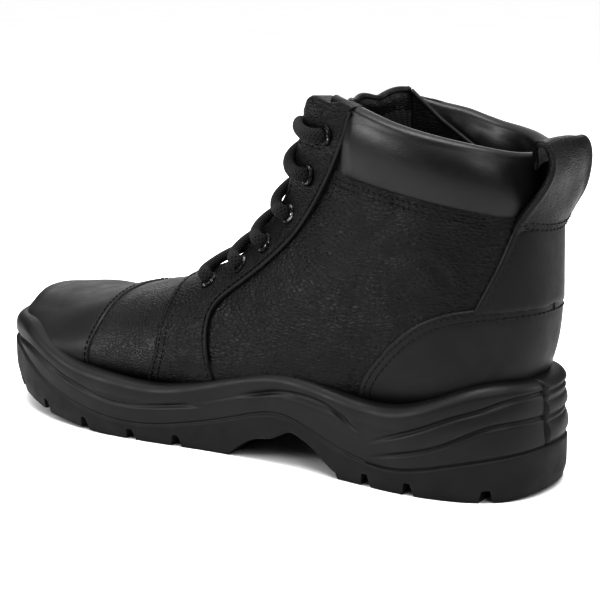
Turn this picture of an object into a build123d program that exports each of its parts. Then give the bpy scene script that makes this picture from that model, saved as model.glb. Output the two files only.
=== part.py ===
from build123d import *
import math
import os

import numpy as np

# One left laced ankle boot. Millimetres. +X to the toe, +Y to the outer (lateral) side, +Z up.
# The origin is on the ground, in the middle of the boot's length and width.

# ---------------------------------------------------------------- driving dimensions
SHIFT_X = 2.5            # from the last's own frame to mid-length, pull loop included
PIVOT_X = 60.0           # fan centre of the upper's cross-sections, in the last's frame
PIVOT_Z = 178.0
TOE_TIP = 142.0          # foremost point of the upper
TOE_LEVEL = 48.0         # height of the toe's nose

REACH = 100.0            # past everything, from the middle plane
BOTTOM = -60.0
TOP = 260.0
AHEAD = 220.0
BEHIND = -220.0

LEATHER = 2.0
BULGE = 1.8              # how far the padded collar stands proud of the quarter
COLLAR_SKIN = 1.3
GLUE = 0.1               # gap between layers
BOND = 0.2               # gap between the sole and the lasted upper
INTERLINING = 1.8
LINING = 1.0

BOARD = 2.0
PLATE = 0.8
SHANK_T = 2.2
SHANK_LENGTH = 105.0
SHANK_WIDTH = 14.0
SHANK_REAR = -90.0
FOOTBED = 5.0
FOOTBED_GAP = 0.3

SOLE_HEIGHT = 80.0       # more than the sole's own height
LUG_DEPTH = 6.0
GROOVE = 4.0

PLATE_MARGIN = 1.0       # how far each flat layer stays inside the lining
BOARD_MARGIN = 0.1
FOOTBED_MARGIN = 2.5

EYELET_BORE = 2.5
EYELET_WALL = 0.5
FLANGE_R = 4.4
FLANGE_T = 0.7
FLANGE_LIFT = 0.15
WASHER_R = 4.0
HOLE_LENGTH = 12.0
HOLE_START = 8.0
LACE_R = 2.0
LACE_LIFT = 3.0
LACE_OVER = 4.4          # height of the upper and the lower lace where they cross
LACE_UNDER = -0.1
LACE_BEND = 12.0         # largest bend radius used
LACE_TUCK = 4.0          # degrees up to the tucked end

LOOP_WIDTH = 40.0
LOOP_T = 2.0

TOE_FALL = (100.0, 2.6, 2.2)     # where the ridge starts to close to the toe, power and root
TOE_NARROWING = (85.0, 2.6, 2.3)

# Upper: radius from the pivot to the front ridge, to the sole or back, and half widths.
# Stations run along the toe as minus the distance ahead of the pivot, then as degrees
# of the fan from straight down to straight back.
RIDGE = [(-82, 122), (-72, 124.7), (-60, 125.4), (-42, 125.2), (-30, 122.7), (-18, 119.2), (0, 114.5),
         (15, 109.5), (30, 105.5), (45, 100.5), (60, 97), (75, 95.5), (92, 94.5)]
SOLE = [(-82, 140), (-60, 146), (-30, 154), (0, 158), (15, 163.5), (30, 182), (40, 206),
        (46, 225), (50, 239), (53, 241), (56, 238), (60, 233), (65, 223.5), (72, 211.5),
        (80, 199.5), (92, 189)]
LATERAL = [(-82, 46), (-60, 49), (-30, 51), (0, 48.5), (20, 45), (40, 41.5), (60, 39),
           (75, 38.5), (92, 41)]
MEDIAL = [(-82, 45), (-60, 49), (-40, 50), (-15, 47), (15, 41), (35, 37.5), (60, 36.5),
          (75, 37.5), (92, 40)]
MIDDLE = [(-82, -2), (-40, -2), (45, 0), (92, 0)]
FRONT_ROUND = [(-82, 0.44), (-40, 0.46), (0, 0.48), (30, 0.50), (92, 0.50)]
BACK_ROUND = [(-82, 0.16), (-30, 0.16), (0, 0.18), (30, 0.24), (50, 0.36), (60, 0.42), (92, 0.46)]
BACK_INSET = [(40, 0), (56, 1)]     # layers share the sole line and part up the back
TURNS = [0, 14, 30, 48, 70, 95, 118, 138, 154, 167, 180]    # degrees round a section
STATIONS = [-80, -76, -70, -61, -50, -36, -18, 0, 15, 28, 38, 45, 50, 55, 60, 66, 73, 81, 90]

# Sole, top view outline and side view lines
OUTLINE = [(-148, 0), (-141, 25), (-117, 41), (-82, 45), (-42, 44), (5, 49), (50, 56.5),
           (94, 54), (127, 39), (145, 11), (145, -17), (128, -42), (95, -56), (50, -56),
           (0, -46), (-45, -38), (-85, -40), (-118, -38), (-141, -23)]
HEEL_SPRING = [(-170, 8), (-150, 2.5), (-138, 0)]
TOE_SPRING = [(56, 0), (90, 4.5), (120, 12), (150, 25), (170, 34)]
ARCH = [(-69, -2), (-62, 7), (-52, 14), (-42, 15.5), (-30, 11.5), (-18, 6), (-10, -2)]
SPLIT = [(-170, 24), (-150, 21), (-120, 15), (-95, 10), (-75, 12), (-55, 18), (-40, 22.5),
         (-15, 18), (10, 11.5), (35, 8), (70, 11.5), (95, 19), (115, 27.5), (132, 32), (170, 33.5)]
LIP = [(-170, 47), (-150, 47.5), (-135, 48), (-115, 42), (-90, 35.5), (-72, 36.5), (-38, 40.5),
       (0, 32), (25, 27), (50, 28), (75, 31), (95, 37), (112, 43), (128, 44), (170, 42)]
FLOOR = [(-170, 26), (-110, 26), (-60, 27.5), (-35, 27.5), (0, 24.5), (40, 22.5), (72, 22.5), (98, 26),
         (120, 31), (140, 36), (170, 42)]

# Seams, side view
TOP_EDGE = [(170, 172), (60, 170), (-20, 166), (-51, 159), (-66, 156), (-94, 148.5), (-120, 143),
            (-137, 139), (-170, 132)]
TOE_SEAM = [(68, 10), (69, 34), (69.5, 48), (73, 59), (84, 90)]
VAMP_SEAM = [(39, 8), (38, 22), (31, 40), (33, 52), (35, 61), (40, 69), (52, 90)]
QUARTER_SEAM = [(-3, 8), (-2, 34), (3, 52), (3, 63), (-7, 73), (-28, 90), (-49, 114), (-64, 139), (-76, 166)]
COLLAR_SEAM = [(-40, 133), (-56, 128), (-73, 125), (-108, 119), (-136, 113.5), (-170, 107)]
BACKSTAY_EDGE = [(-112, 40), (-122, 72), (-131, 95), (-137, 118)]
COUNTER_EDGE = [(-72, 10), (-75, 38), (-83, 52), (-96, 66), (-110, 74.5), (-127, 78.5), (-145, 80),
                (-170, 80)]

# Throat, top view half outline, and the eyelets' places in side view
THROAT = [(34, 0), (31, 5), (12, 15.5), (-12, 16.5), (-27, 15.5), (-36, 18.5), (-50, 26)]
THROAT_HALF = 16.0
THROAT_FROM = 60.0
EYELETS = [(15, 71.5), (-3.5, 81), (-17, 92), (-30, 106), (-43, 124), (-54, 142)]

# Tongue: fan angle, depth of the middle below the ridge line, half width, depth of the edges
TONGUE = [(11, 10, 13, 13), (24, 12, 20, 24), (38, 13.5, 21, 30), (52, 16.4, 20.4, 33.5),
          (66, 18.2, 22.3, 34), (76, 22, 23.5, 33), (80, 25, 23.5, 31)]
TONGUE_LEATHER = 1.4
TONGUE_FOAM = 2.8
TONGUE_LINING = 0.8
TONGUE_T = 6.0
GUSSET = 14.0
GUSSET_T = 1.0
RIM = 1.4

# Pull loop: inner face of the strip in side view, from its lower seam over the top
LOOP_LINE = [(-142.9, 109.5), (-144.3, 114.5), (-147.2, 121.5), (-149.1, 128.5), (-149.3, 134.5),
             (-148.2, 139.8), (-145, 143.2), (-140.5, 144.6), (-135.5, 144.9), (-131.5, 144.6)]
LOOP_SAG = 6.0
LUG_GAPS = [121.5, 98, 75.5, 58, 41, 26, 11, -82, -102.5, -134.5]


# ---------------------------------------------------------------- shape helpers
def natural(table, x):
    """Natural cubic curve through the table's points."""
    xs = np.array([p[0] for p in table], float)
    ys = np.array([p[1] for p in table], float)
    h = np.diff(xs)
    n = len(xs)
    lhs = np.eye(n)
    rhs = np.zeros(n)
    for i in range(1, n - 1):
        lhs[i, i - 1:i + 2] = h[i - 1], 2 * (h[i - 1] + h[i]), h[i]
        rhs[i] = 6 * ((ys[i + 1] - ys[i]) / h[i] - (ys[i] - ys[i - 1]) / h[i - 1])
    m = np.linalg.solve(lhs, rhs)
    i = int(np.clip(np.searchsorted(xs, x) - 1, 0, n - 2))
    t = x - xs[i]
    slope = (ys[i + 1] - ys[i]) / h[i] - h[i] * (2 * m[i] + m[i + 1]) / 6
    return float(ys[i] + t * (slope + t * (m[i] / 2 + t * (m[i + 1] - m[i]) / (6 * h[i]))))


def linear(table, x):
    return float(np.interp(x, [p[0] for p in table], [p[1] for p in table]))


def closing(x, start, power, root):
    """1 along the toe, falling to 0 at the tip like a superellipse."""
    s = min(max((x - start) / (TOE_TIP - start), 0.0), 1.0)
    return (1 - s ** power) ** (1 / root)


def in_place(u, radius, y, inset=0.0):
    """Last's fan coordinates to the boot's frame; an inset draws the toe back with it."""
    toe = TOE_TIP - PIVOT_X
    x = PIVOT_X - min(u, 0) * (toe - inset) / toe
    angle = math.radians(max(u, 0))
    return Vector(x - radius * math.sin(angle), y, PIVOT_Z - radius * math.cos(angle))


def radii(u, inset):
    ridge = natural(RIDGE, u) + inset
    sole = natural(SOLE, u) - inset * linear(BACK_INSET, u)
    x = PIVOT_X - u
    if u < 0:
        fall = closing(x, *TOE_FALL)
        level = PIVOT_Z - TOE_LEVEL
        ridge = level - (level - ridge) * fall
        sole = level + (sole - level) * math.sqrt(fall)
    return ridge, sole


def skin(u, turn, inset=0.0):
    """Point on the upper's surface: station u, turn 0 at the front ridge and pi at the sole."""
    ridge, sole = radii(u, inset)
    width = closing(PIVOT_X - u, *TOE_NARROWING) if u < 0 else 1.0
    lateral = math.sin(turn) >= 0
    half = (natural(LATERAL if lateral else MEDIAL, u) - inset) * width
    a = linear(FRONT_ROUND, u)
    b = linear(BACK_ROUND, u)
    s = (1 - math.cos(turn)) / 2
    peak = a / (a + b)
    fullness = s ** a * (1 - s) ** b / (peak ** a * (1 - peak) ** b)
    y = natural(MIDDLE, u) + (half if lateral else -half) * fullness
    return in_place(u, ridge + (sole - ridge) * s, y, inset)


def section(u, inset):
    """Points round one cross-section, closer together where the sole or the back turns."""
    turns = TURNS + [360 - t for t in TURNS[-2:0:-1]]
    return [skin(u, math.radians(t), inset) for t in turns]


def spacing():
    """Shared spline parameters of all sections, from their mean chords."""
    total = 0
    for u in STATIONS:
        points = section(u, 0.0)
        chords = [(b - a).length for a, b in zip(points, points[1:] + points[:1])]
        total = total + np.cumsum(chords) / sum(chords)
    return [0.0, *(total / len(STATIONS))]


_bodies = {}


def body(inset):
    """Closed solid inside the upper's surface, set in by a distance; each is made once."""
    if inset not in _bodies:
        steps = spacing()
        edges = [Edge.make_spline(section(u, inset), parameters=steps, periodic=True) for u in STATIONS]
        _bodies[inset] = Solid.make_loft([Wire([edge]) for edge in edges])
    return _bodies[inset]


def shell(outer, inner):
    return body(outer) - body(inner)


def curve(points):
    """Smooth side-view line."""
    return Edge.make_spline([Vector(x, 0, z) for x, z in points])


def chain(points):
    """Straight side-view lines."""
    ends = [Vector(x, 0, z) for x, z in points]
    return [Edge.make_line(a, b) for a, b in zip(ends, ends[1:])]


def across(edges):
    """Solid through the boot from side to side, from closed side-view edges."""
    face = Face(Wire(edges)).moved(Location((0, -REACH, 0)))
    return Solid.extrude(face, Vector(0, 2 * REACH, 0))


def region(points, *corners):
    """Side-view area bounded by a smooth line and then straight lines through the corners."""
    return across([curve(points)] + chain([points[-1], *corners, points[0]]))


def below(points):
    return region(points, (points[-1][0], BOTTOM), (points[0][0], BOTTOM))


def above(points):
    return region(points, (points[-1][0], TOP), (points[0][0], TOP))


def raised(points, height):
    return [(x, z + height) for x, z in points]


def half(side):
    """Everything on one side of the boot's middle plane."""
    y = 0 if side > 0 else -REACH
    return Solid.make_box(4 * REACH, REACH, TOP - BOTTOM, Plane((-2 * REACH, y, BOTTOM)))


def slab(stations, front, back):
    """Curved strip: each station is a middle point, outward direction, half width and sag."""
    wires = []
    for middle, outward, width, sag in stations:
        def at(y, depth, m=middle, n=outward, w=width, g=sag):
            return m + n * (-depth - g * (y / w) ** 2) + Vector(0, y, 0)
        outer = Edge.make_three_point_arc(at(-width, front), at(0, front), at(width, front))
        inner = Edge.make_three_point_arc(at(width, back), at(0, back), at(-width, back))
        ends = [Edge.make_line(outer @ 1, inner @ 0), Edge.make_line(inner @ 1, outer @ 0)]
        wires.append(Wire([outer, ends[0], inner, ends[1]]))
    return Solid.make_loft(wires)


# ---------------------------------------------------------------- side-view areas of the upper
def beside(seam, x):
    """Everything between a seam and a place ahead of it or behind it."""
    return region(seam, (x, seam[-1][1]), (x, seam[0][1]))


def regions():
    ahead_toe = beside(TOE_SEAM, AHEAD)
    ahead_vamp = beside(VAMP_SEAM, AHEAD)
    behind = beside(QUARTER_SEAM, BEHIND)
    upper_part = above(COLLAR_SEAM)
    counter = below(COUNTER_EDGE)
    stay = beside(BACKSTAY_EDGE, BEHIND)
    return {
        "toe": [[ahead_toe], []],
        "vamp": [[ahead_vamp], [ahead_toe]],
        "facing": [[], [ahead_vamp, behind]],
        "collar": [[behind, upper_part], []],
        "counter": [[counter], []],
        "backstay": [[stay], [counter, upper_part]],
        "quarter": [[behind], [upper_part, counter, stay]],
        "front": [[ahead_vamp], []],
        "back": [[behind], [upper_part]],
    }


def cut(solid, area):
    inside, outside = area
    for tool in inside:
        solid = solid & tool
    for tool in outside:
        solid = solid - tool
    return solid


# ---------------------------------------------------------------- sole
def outline_block():
    """The sole's outline, straight up from the ground."""
    points = [Vector(x, y, 0) for x, y in OUTLINE]
    wire = Wire([Edge.make_spline(points, periodic=True)])
    return Solid.extrude(Face(wire), Vector(0, 0, SOLE_HEIGHT))


def above_ground():
    heel = curve(HEEL_SPRING)
    toe = Edge.make_spline([Vector(x, 0, z) for x, z in TOE_SPRING], tangents=[(1, 0, 0), (2, 0, 1)])
    flat = chain([HEEL_SPRING[-1], TOE_SPRING[0]])
    top = chain([TOE_SPRING[-1], (TOE_SPRING[-1][0], TOP), (HEEL_SPRING[0][0], TOP), HEEL_SPRING[0]])
    return across([heel, *flat, toe, *top])


def foot_space(inset):
    """The upper's volume above the sole's inside floor."""
    return body(inset) & above(FLOOR)


def midsole():
    solid = outline_block() & above(SPLIT) & below(LIP)
    return solid - foot_space(-BOND) - shank()


def outsole():
    solid = outline_block() & above_ground() & below(raised(SPLIT, -GLUE))
    solid = solid - region(ARCH)
    for x in LUG_GAPS:
        roof = max(0.0, linear(TOE_SPRING, x)) + LUG_DEPTH
        corner = Plane((x - GROOVE / 2, -REACH, BOTTOM))
        solid = solid - Solid.make_box(GROOVE, 2 * REACH, roof - BOTTOM, corner)
    return solid


def shank():
    """Steel strip under the waist, moulded into the top of the midsole."""
    strip = above(raised(FLOOR, -SHANK_T)) & below(raised(FLOOR, -GLUE))
    corner = Plane((SHANK_REAR, -SHANK_WIDTH / 2, 0))
    return strip & Solid.make_box(SHANK_LENGTH, SHANK_WIDTH, SOLE_HEIGHT, corner)


def inside_strip(inset, low, high):
    return body(inset) & above(raised(FLOOR, low)) & below(raised(FLOOR, high))


def throat_opening():
    """Everything above the opening between the two facings."""
    outer = [Vector(x, y, THROAT_FROM) for x, y in THROAT]
    inner = [Vector(x, -y, THROAT_FROM) for x, y in THROAT]
    edges = [Edge.make_spline(outer), Edge.make_spline(inner), Edge.make_line(outer[-1], inner[-1])]
    return Solid.extrude(Face(Wire(edges)), Vector(0, 0, TOP - THROAT_FROM))


# ---------------------------------------------------------------- eyelets and lace
def fan_of(x, z):
    """Station and turn of a surface point, from its side-view place."""
    u = math.degrees(math.atan2(PIVOT_X - x, PIVOT_Z - z))
    radius = math.hypot(PIVOT_X - x, PIVOT_Z - z)
    ridge, sole = radii(u, 0)
    return u, math.acos(1 - 2 * (radius - ridge) / (sole - ridge))


def normal_at(u, turn):
    """Outward normal of the upper's surface."""
    along = skin(u + 1, turn) - skin(u - 1, turn)
    around = skin(u, turn + 0.02) - skin(u, turn - 0.02)
    out = along.cross(around).normalized()
    return out if out.Y * math.sin(turn) > 0 else out * -1


def turn_at_width(u, width):
    """Turn at which the surface is this far from the boot's middle plane."""
    low, high = 0.0, 1.2
    for _ in range(40):
        mid = (low + high) / 2
        if abs(skin(u, mid).Y) < width:
            low = mid
        else:
            high = mid
    return low


def eyelet_planes(side):
    planes = []
    for x, z in EYELETS:
        u, turn = fan_of(x, z)
        planes.append(Plane(skin(u, side * turn), z_dir=normal_at(u, side * turn)))
    return planes


def eyelet(plane):
    """Flanged tube set through the facing, with a washer inside."""
    depth = LEATHER + INTERLINING + LINING + 4 * GLUE
    outer = EYELET_BORE + EYELET_WALL
    tube = Solid.make_cylinder(outer, depth + 2 * FLANGE_T, plane.offset(-depth - FLANGE_T))
    rim = Solid.make_cylinder(FLANGE_R, FLANGE_T, plane.offset(FLANGE_LIFT))
    washer = Solid.make_cylinder(WASHER_R, FLANGE_T, plane.offset(-depth - FLANGE_T))
    hole = Solid.make_cylinder(EYELET_BORE, HOLE_LENGTH, plane.offset(-HOLE_START))
    return tube.fuse(rim, washer) - hole


def eyelet_holes():
    radius = EYELET_BORE + EYELET_WALL
    planes = eyelet_planes(1) + eyelet_planes(-1)
    return [Solid.make_cylinder(radius, HOLE_LENGTH, p.offset(-HOLE_START)) for p in planes]


def lace_points():
    """One lace: from the bottom bar it climbs both sides, crossing at each level."""
    under = LEATHER + INTERLINING + LINING + 5 * GLUE + FLANGE_T + LACE_R
    places = [fan_of(x, z) for x, z in EYELETS]

    def point(u, turn, side, lift):
        return skin(u, side * turn) + normal_at(u, side * turn) * lift

    def climb(side, higher):
        """Points from the first eyelet of one side up to the tucked end."""
        points = []
        for level, (u, turn) in enumerate(places):
            edge = turn_at_width(u, THROAT_HALF - 1)
            last = level == len(places) - 1
            next_u, next_turn = places[level + 1] if not last else (u + LACE_TUCK, turn)
            next_edge = turn_at_width(next_u, THROAT_HALF - 2)
            middle = (u + next_u) / 2
            chord = skin(middle, turn_at_width(middle, THROAT_HALF))
            inward = Vector(PIVOT_X - chord.X, 0, PIVOT_Z - chord.Z).normalized()
            rise = inward * (LACE_OVER if higher else LACE_UNDER)
            points.append(point(u, turn, side, LACE_LIFT))
            points.append(point(u, edge, side, LACE_LIFT))
            points.append(Vector(chord.X, 0, chord.Z) + rise)
            points.append(point(next_u, next_edge, -side, -under))
            points.append(point(next_u, next_turn, -side, -under))
            side = -side
            higher = not higher
        return points

    u, turn = places[0]
    edge = turn_at_width(u, THROAT_HALF - 2)
    low = skin(u, turn_at_width(u, THROAT_HALF))
    bar = [point(u, turn, 1, -under), point(u, edge, 1, -under), Vector(low.X, 0, low.Z - 1),
           point(u, edge, -1, -under), point(u, turn, -1, -under)]
    return climb(1, True)[::-1] + bar + climb(-1, False)


def lace():
    points = lace_points()
    radii_list = []
    for a, b, c in zip(points, points[1:], points[2:]):
        turn = math.radians((b - a).get_angle(c - b))
        shorter = min((b - a).length, (c - b).length)
        radii_list.append(min(0.45 * shorter / math.tan(turn / 2), LACE_BEND))
    print("lace radii", [round(r, 1) for r in radii_list])
    path = FilletPolyline(*points, radius=radii_list)
    print("lace length", round(path.length))
    return sweep(Plane(path @ 0, z_dir=path % 0) * Circle(LACE_R), path=path)


# ---------------------------------------------------------------- tongue and pull loop
def tongue_stations():
    """Cross-sections up the tongue."""
    stations = []
    for u, depth, width, edge in TONGUE:
        ridge = radii(u, 0)[0]
        angle = math.radians(u)
        outward = Vector(math.sin(angle), 0, math.cos(angle))
        stations.append((in_place(u, ridge + depth, 0), outward, width, edge - depth))
    return stations


def gusset(side):
    """Folded leaf from the tongue's edge back along the quarter's inside."""
    wires = []
    for u, depth, width, edge in TONGUE[1:]:
        root = radii(u, 0)[0] + edge + TONGUE_T + FOOTBED_GAP
        y = side * (width - 1.5)
        leaf = GUSSET * (0.2 + 0.8 * (u - TONGUE[1][0]) / (TONGUE[-1][0] - TONGUE[1][0]))
        start = in_place(u, root, y)
        end = in_place(u, root + leaf, y + side * 1.5)
        step = Vector(0, side * GUSSET_T, 0)
        wires.append(Wire.make_polygon([start, end, end + step, start + step]))
    return Solid.make_loft(wires, ruled=False)


def pull_loop():
    stations = []
    for i, (x, z) in enumerate(LOOP_LINE):
        a = LOOP_LINE[max(i - 1, 0)]
        b = LOOP_LINE[min(i + 1, len(LOOP_LINE) - 1)]
        along = Vector(b[0] - a[0], 0, b[1] - a[1]).normalized()
        outward = Vector(-along.Z, 0, along.X)
        sag = max(LOOP_SAG * (1 - i / 4), 0.4)
        stations.append((Vector(x, 0, z), outward, LOOP_WIDTH / 2, sag))
    return slab(stations, -LOOP_T, 0)


# ---------------------------------------------------------------- the whole boot
def build():
    areas = regions()
    trim = above(FLOOR) & below(TOP_EDGE)
    rim = below(raised(TOP_EDGE, -RIM - GLUE))
    throat = throat_opening()
    holes = eyelet_holes()

    leather = shell(0.0, LEATHER) & trim
    inner = LEATHER + GLUE
    middle_layer = shell(inner, inner + INTERLINING) & trim
    skin_depth = inner + INTERLINING + GLUE
    lining_layer = shell(skin_depth, skin_depth + LINING) & trim
    inside = skin_depth + LINING

    nodes = {"outsole": outsole(), "midsole": midsole(), "shank": shank()}
    plate_low = GLUE
    board_low = plate_low + PLATE + GLUE
    foot_low = board_low + BOARD + FOOTBED_GAP
    nodes["puncture_plate"] = inside_strip(inside + PLATE_MARGIN, plate_low, plate_low + PLATE)
    nodes["insole_board"] = inside_strip(inside + BOARD_MARGIN, board_low, board_low + BOARD)
    nodes["footbed"] = inside_strip(inside + FOOTBED_MARGIN, foot_low, foot_low + FOOTBED)

    nodes["toe_cap_leather"] = cut(leather, areas["toe"])
    nodes["vamp"] = cut(leather, areas["vamp"])
    nodes["heel_counter_cover"] = cut(leather, areas["counter"])
    nodes["backstay"] = cut(leather, areas["backstay"])
    facing = cut(leather, areas["facing"]) - throat
    stay = cut(middle_layer, areas["facing"]) - throat
    facing_lining = cut(lining_layer, areas["facing"]) - throat
    for hole in holes:
        facing = facing - hole
        stay = stay - hole
        facing_lining = facing_lining - hole
    quarter = cut(leather, areas["quarter"])
    interlining = cut(middle_layer, areas["quarter"])
    collar = areas["collar"]
    cover = cut(shell(-BULGE, COLLAR_SKIN - BULGE) & above(FLOOR) & rim, collar)
    foam = cut(shell(COLLAR_SKIN - BULGE + GLUE, skin_depth - GLUE) & above(FLOOR) & rim, collar)
    binding = cut(shell(-BULGE, inside) & trim, collar) - rim
    for side, name in ((1, "lateral"), (-1, "medial")):
        nodes["facing_" + name] = facing & half(side)
        nodes["eyestay_" + name] = stay & half(side)
        nodes["quarter_" + name] = quarter & half(side)
        nodes["quarter_interlining_" + name] = interlining & half(side)
        nodes["collar_cover_" + name] = cover & half(side)
        nodes["eyelets_" + name] = Compound([eyelet(p) for p in eyelet_planes(side)])
        nodes["tongue_gusset_" + name] = gusset(side)
    nodes["collar_foam"] = foam
    nodes["collar_binding"] = binding
    nodes["toe_protector"] = cut(middle_layer, areas["toe"])
    nodes["vamp_interlining"] = cut(middle_layer, areas["vamp"])
    nodes["heel_stiffener"] = cut(middle_layer, areas["counter"])
    nodes["backstay_interlining"] = cut(middle_layer, areas["backstay"])
    nodes["vamp_lining"] = cut(lining_layer, areas["front"])
    nodes["facing_lining"] = facing_lining
    nodes["collar_lining"] = cut(lining_layer & rim, collar)
    nodes["quarter_lining"] = cut(lining_layer, areas["back"])

    depth = 0.0
    for layer, thickness in (("leather", TONGUE_LEATHER), ("foam", TONGUE_FOAM), ("lining", TONGUE_LINING)):
        nodes["tongue_" + layer] = slab(tongue_stations(), depth, depth + thickness)
        depth += thickness + GLUE
    nodes["pull_loop"] = pull_loop()
    nodes["lace"] = lace()
    return nodes


def main():
    os.makedirs("parts", exist_ok=True)
    for name, shape in build().items():
        placed = Compound([s for s in shape.solids()]).moved(Location((SHIFT_X, 0, 0)))
        print(name, len(placed.solids()), round(placed.volume))
        export_step(placed, f"parts/{name}.step")


if __name__ == "__main__":
    main()
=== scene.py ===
import math

import bmesh
import bpy
import numpy as np
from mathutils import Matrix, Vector


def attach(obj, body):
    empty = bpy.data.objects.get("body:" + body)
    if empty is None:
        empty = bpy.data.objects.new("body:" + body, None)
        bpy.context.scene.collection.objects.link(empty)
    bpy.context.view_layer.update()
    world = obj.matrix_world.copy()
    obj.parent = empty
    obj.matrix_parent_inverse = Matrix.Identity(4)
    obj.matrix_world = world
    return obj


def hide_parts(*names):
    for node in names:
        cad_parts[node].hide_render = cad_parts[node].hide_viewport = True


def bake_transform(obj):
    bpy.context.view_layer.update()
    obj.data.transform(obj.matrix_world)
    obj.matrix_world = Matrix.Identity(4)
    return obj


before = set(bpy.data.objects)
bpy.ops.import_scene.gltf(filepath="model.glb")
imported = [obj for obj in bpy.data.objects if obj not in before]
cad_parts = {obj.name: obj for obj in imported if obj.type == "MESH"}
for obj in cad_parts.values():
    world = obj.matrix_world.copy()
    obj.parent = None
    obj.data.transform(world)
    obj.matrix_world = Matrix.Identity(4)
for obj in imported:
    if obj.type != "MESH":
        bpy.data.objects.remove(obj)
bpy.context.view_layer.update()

# Working units are the boot's own millimetres in the last's frame; place() turns them into
# metres in the shared frame. +X toe, +Y outer side, +Z up.
SHIFT_X = 2.5
MM = 0.001
TAU = 2 * math.pi
PIVOT_X, PIVOT_Z = 60.0, 178.0
TOE_TIP, TOE_LEVEL = 142.0, 48.0

# ---------------------------------------------------------------- the last, as in the CAD
# Distances from the pivot to the front ridge and to the sole or back, by station: millimetres
# ahead of the pivot when negative, degrees round it when positive.
RIDGE = [(-82, 122), (-72, 124.7), (-60, 125.4), (-42, 125.2), (-30, 122.7), (-18, 119.2),
         (0, 114.5), (15, 109.5), (30, 105.5), (45, 100.5), (60, 97), (75, 95.5), (92, 94.5)]
SOLE = [(-82, 140), (-60, 146), (-30, 154), (0, 158), (15, 163.5), (30, 182), (40, 206),
        (46, 225), (50, 239), (53, 241), (56, 238), (60, 233), (65, 223.5), (72, 211.5),
        (80, 199.5), (92, 189)]
LATERAL = [(-82, 46), (-60, 49), (-30, 51), (0, 48.5), (20, 45), (40, 41.5), (60, 39),
           (75, 38.5), (92, 41)]
MEDIAL = [(-82, 45), (-60, 49), (-40, 50), (-15, 47), (15, 41), (35, 37.5), (60, 36.5),
          (75, 37.5), (92, 40)]
MIDDLE = [(-82, -2), (-40, -2), (45, 0), (92, 0)]
FRONT_ROUND = [(-82, 0.44), (-40, 0.46), (0, 0.48), (30, 0.50), (92, 0.50)]
BACK_ROUND = [(-82, 0.16), (-30, 0.16), (0, 0.18), (30, 0.24), (50, 0.36), (60, 0.42), (92, 0.46)]

OUTLINE = [(-148, 0), (-141, 25), (-117, 41), (-82, 45), (-42, 44), (5, 49), (50, 56.5),
           (94, 54), (127, 39), (145, 11), (145, -17), (128, -42), (95, -56), (50, -56),
           (0, -46), (-45, -38), (-85, -40), (-118, -38), (-141, -23)]
GROUND = [(-170, 8), (-150, 2.5), (-138, 0), (0, 0), (56, 0), (90, 3), (120, 9), (150, 22), (170, 31)]
SPLIT = [(-170, 24), (-150, 21), (-120, 15), (-95, 10), (-75, 12), (-55, 18), (-40, 22.5),
         (-15, 18), (10, 11.5), (35, 8), (70, 11.5), (95, 19), (115, 27.5), (132, 32), (170, 33.5)]
LIP = [(-170, 47), (-150, 47.5), (-135, 48), (-115, 42), (-90, 35.5), (-72, 36.5), (-38, 40.5),
       (0, 32), (25, 27), (50, 28), (75, 31), (95, 37), (112, 43), (128, 44), (170, 42)]
ARCH_TOP = [(-66.7, 3.0), (-59.5, 8.4), (-53.8, 12.2), (-49.1, 14.4), (-43.4, 15.9), (-35.9, 12.3),
            (-24.4, 9.6), (-10.4, 0.0)]

TOP_EDGE = [(170, 172), (60, 170), (-20, 166), (-51, 159), (-66, 156), (-94, 148.5), (-120, 143),
            (-137, 139), (-170, 132)]
TOE_SEAM = [(68, 10), (69, 34), (69.5, 48), (73, 59), (84, 90), (87.5, 100)]
VAMP_SEAM = [(39, 8), (38, 22), (31, 40), (33, 52), (35, 61), (40, 69), (52, 90), (57.5, 100)]
QUARTER_SEAM = [(-3, 8), (-2, 34), (3, 52), (3, 63), (-7, 73), (-28, 90), (-49, 114), (-64, 139),
                (-76, 166)]
COLLAR_SEAM = [(-40, 133), (-56, 128), (-73, 125), (-108, 119), (-136, 113.5), (-170, 107)]
BACKSTAY_EDGE = [(-112, 40), (-122, 72), (-131, 95), (-137, 118)]
COUNTER_EDGE = [(-72, 10), (-75, 38), (-83, 52), (-96, 66), (-110, 74.5), (-127, 78.5), (-145, 80),
                (-170, 80)]
THROAT_EDGE = [(46, 4), (34, 5), (12, 15.5), (-12, 16.5), (-27, 15.5), (-38, 15.5), (-48, 16), (-60, 17)]
EYELETS = [(15, 71.5), (-3.5, 81), (-17, 92), (-30, 106), (-43, 124), (-54, 142)]
# Tongue rows: station, drop of its middle, half width, drop of its edges.
TONGUE = [(11, 10, 13, 13), (24, 12, 20, 24), (38, 13.5, 21, 30), (52, 16.4, 20.4, 33.5),
          (66, 18.2, 22.3, 34), (72, 19, 23.5, 31.5), (77, 20, 24.5, 29), (82, 21.5, 25.5, 25.5)]
# Places of the gaps between the lugs: right through to the edge, and in the middle only.
EDGE_GAPS = [118, 92, 64, 37.5, 14.5, -82, -102, -132.5]
INNER_GAPS = [105, 78, 51, 26, -118]
# Heights of an overlapping panel and of one underneath it, the gussets' thickness, and how far
# the stitch rows lie from an edge.
HIGH, LOW = 0.9, 0.0
GUSSET = 1.0
STITCH_ROWS = (2.2, 4.8)


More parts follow.
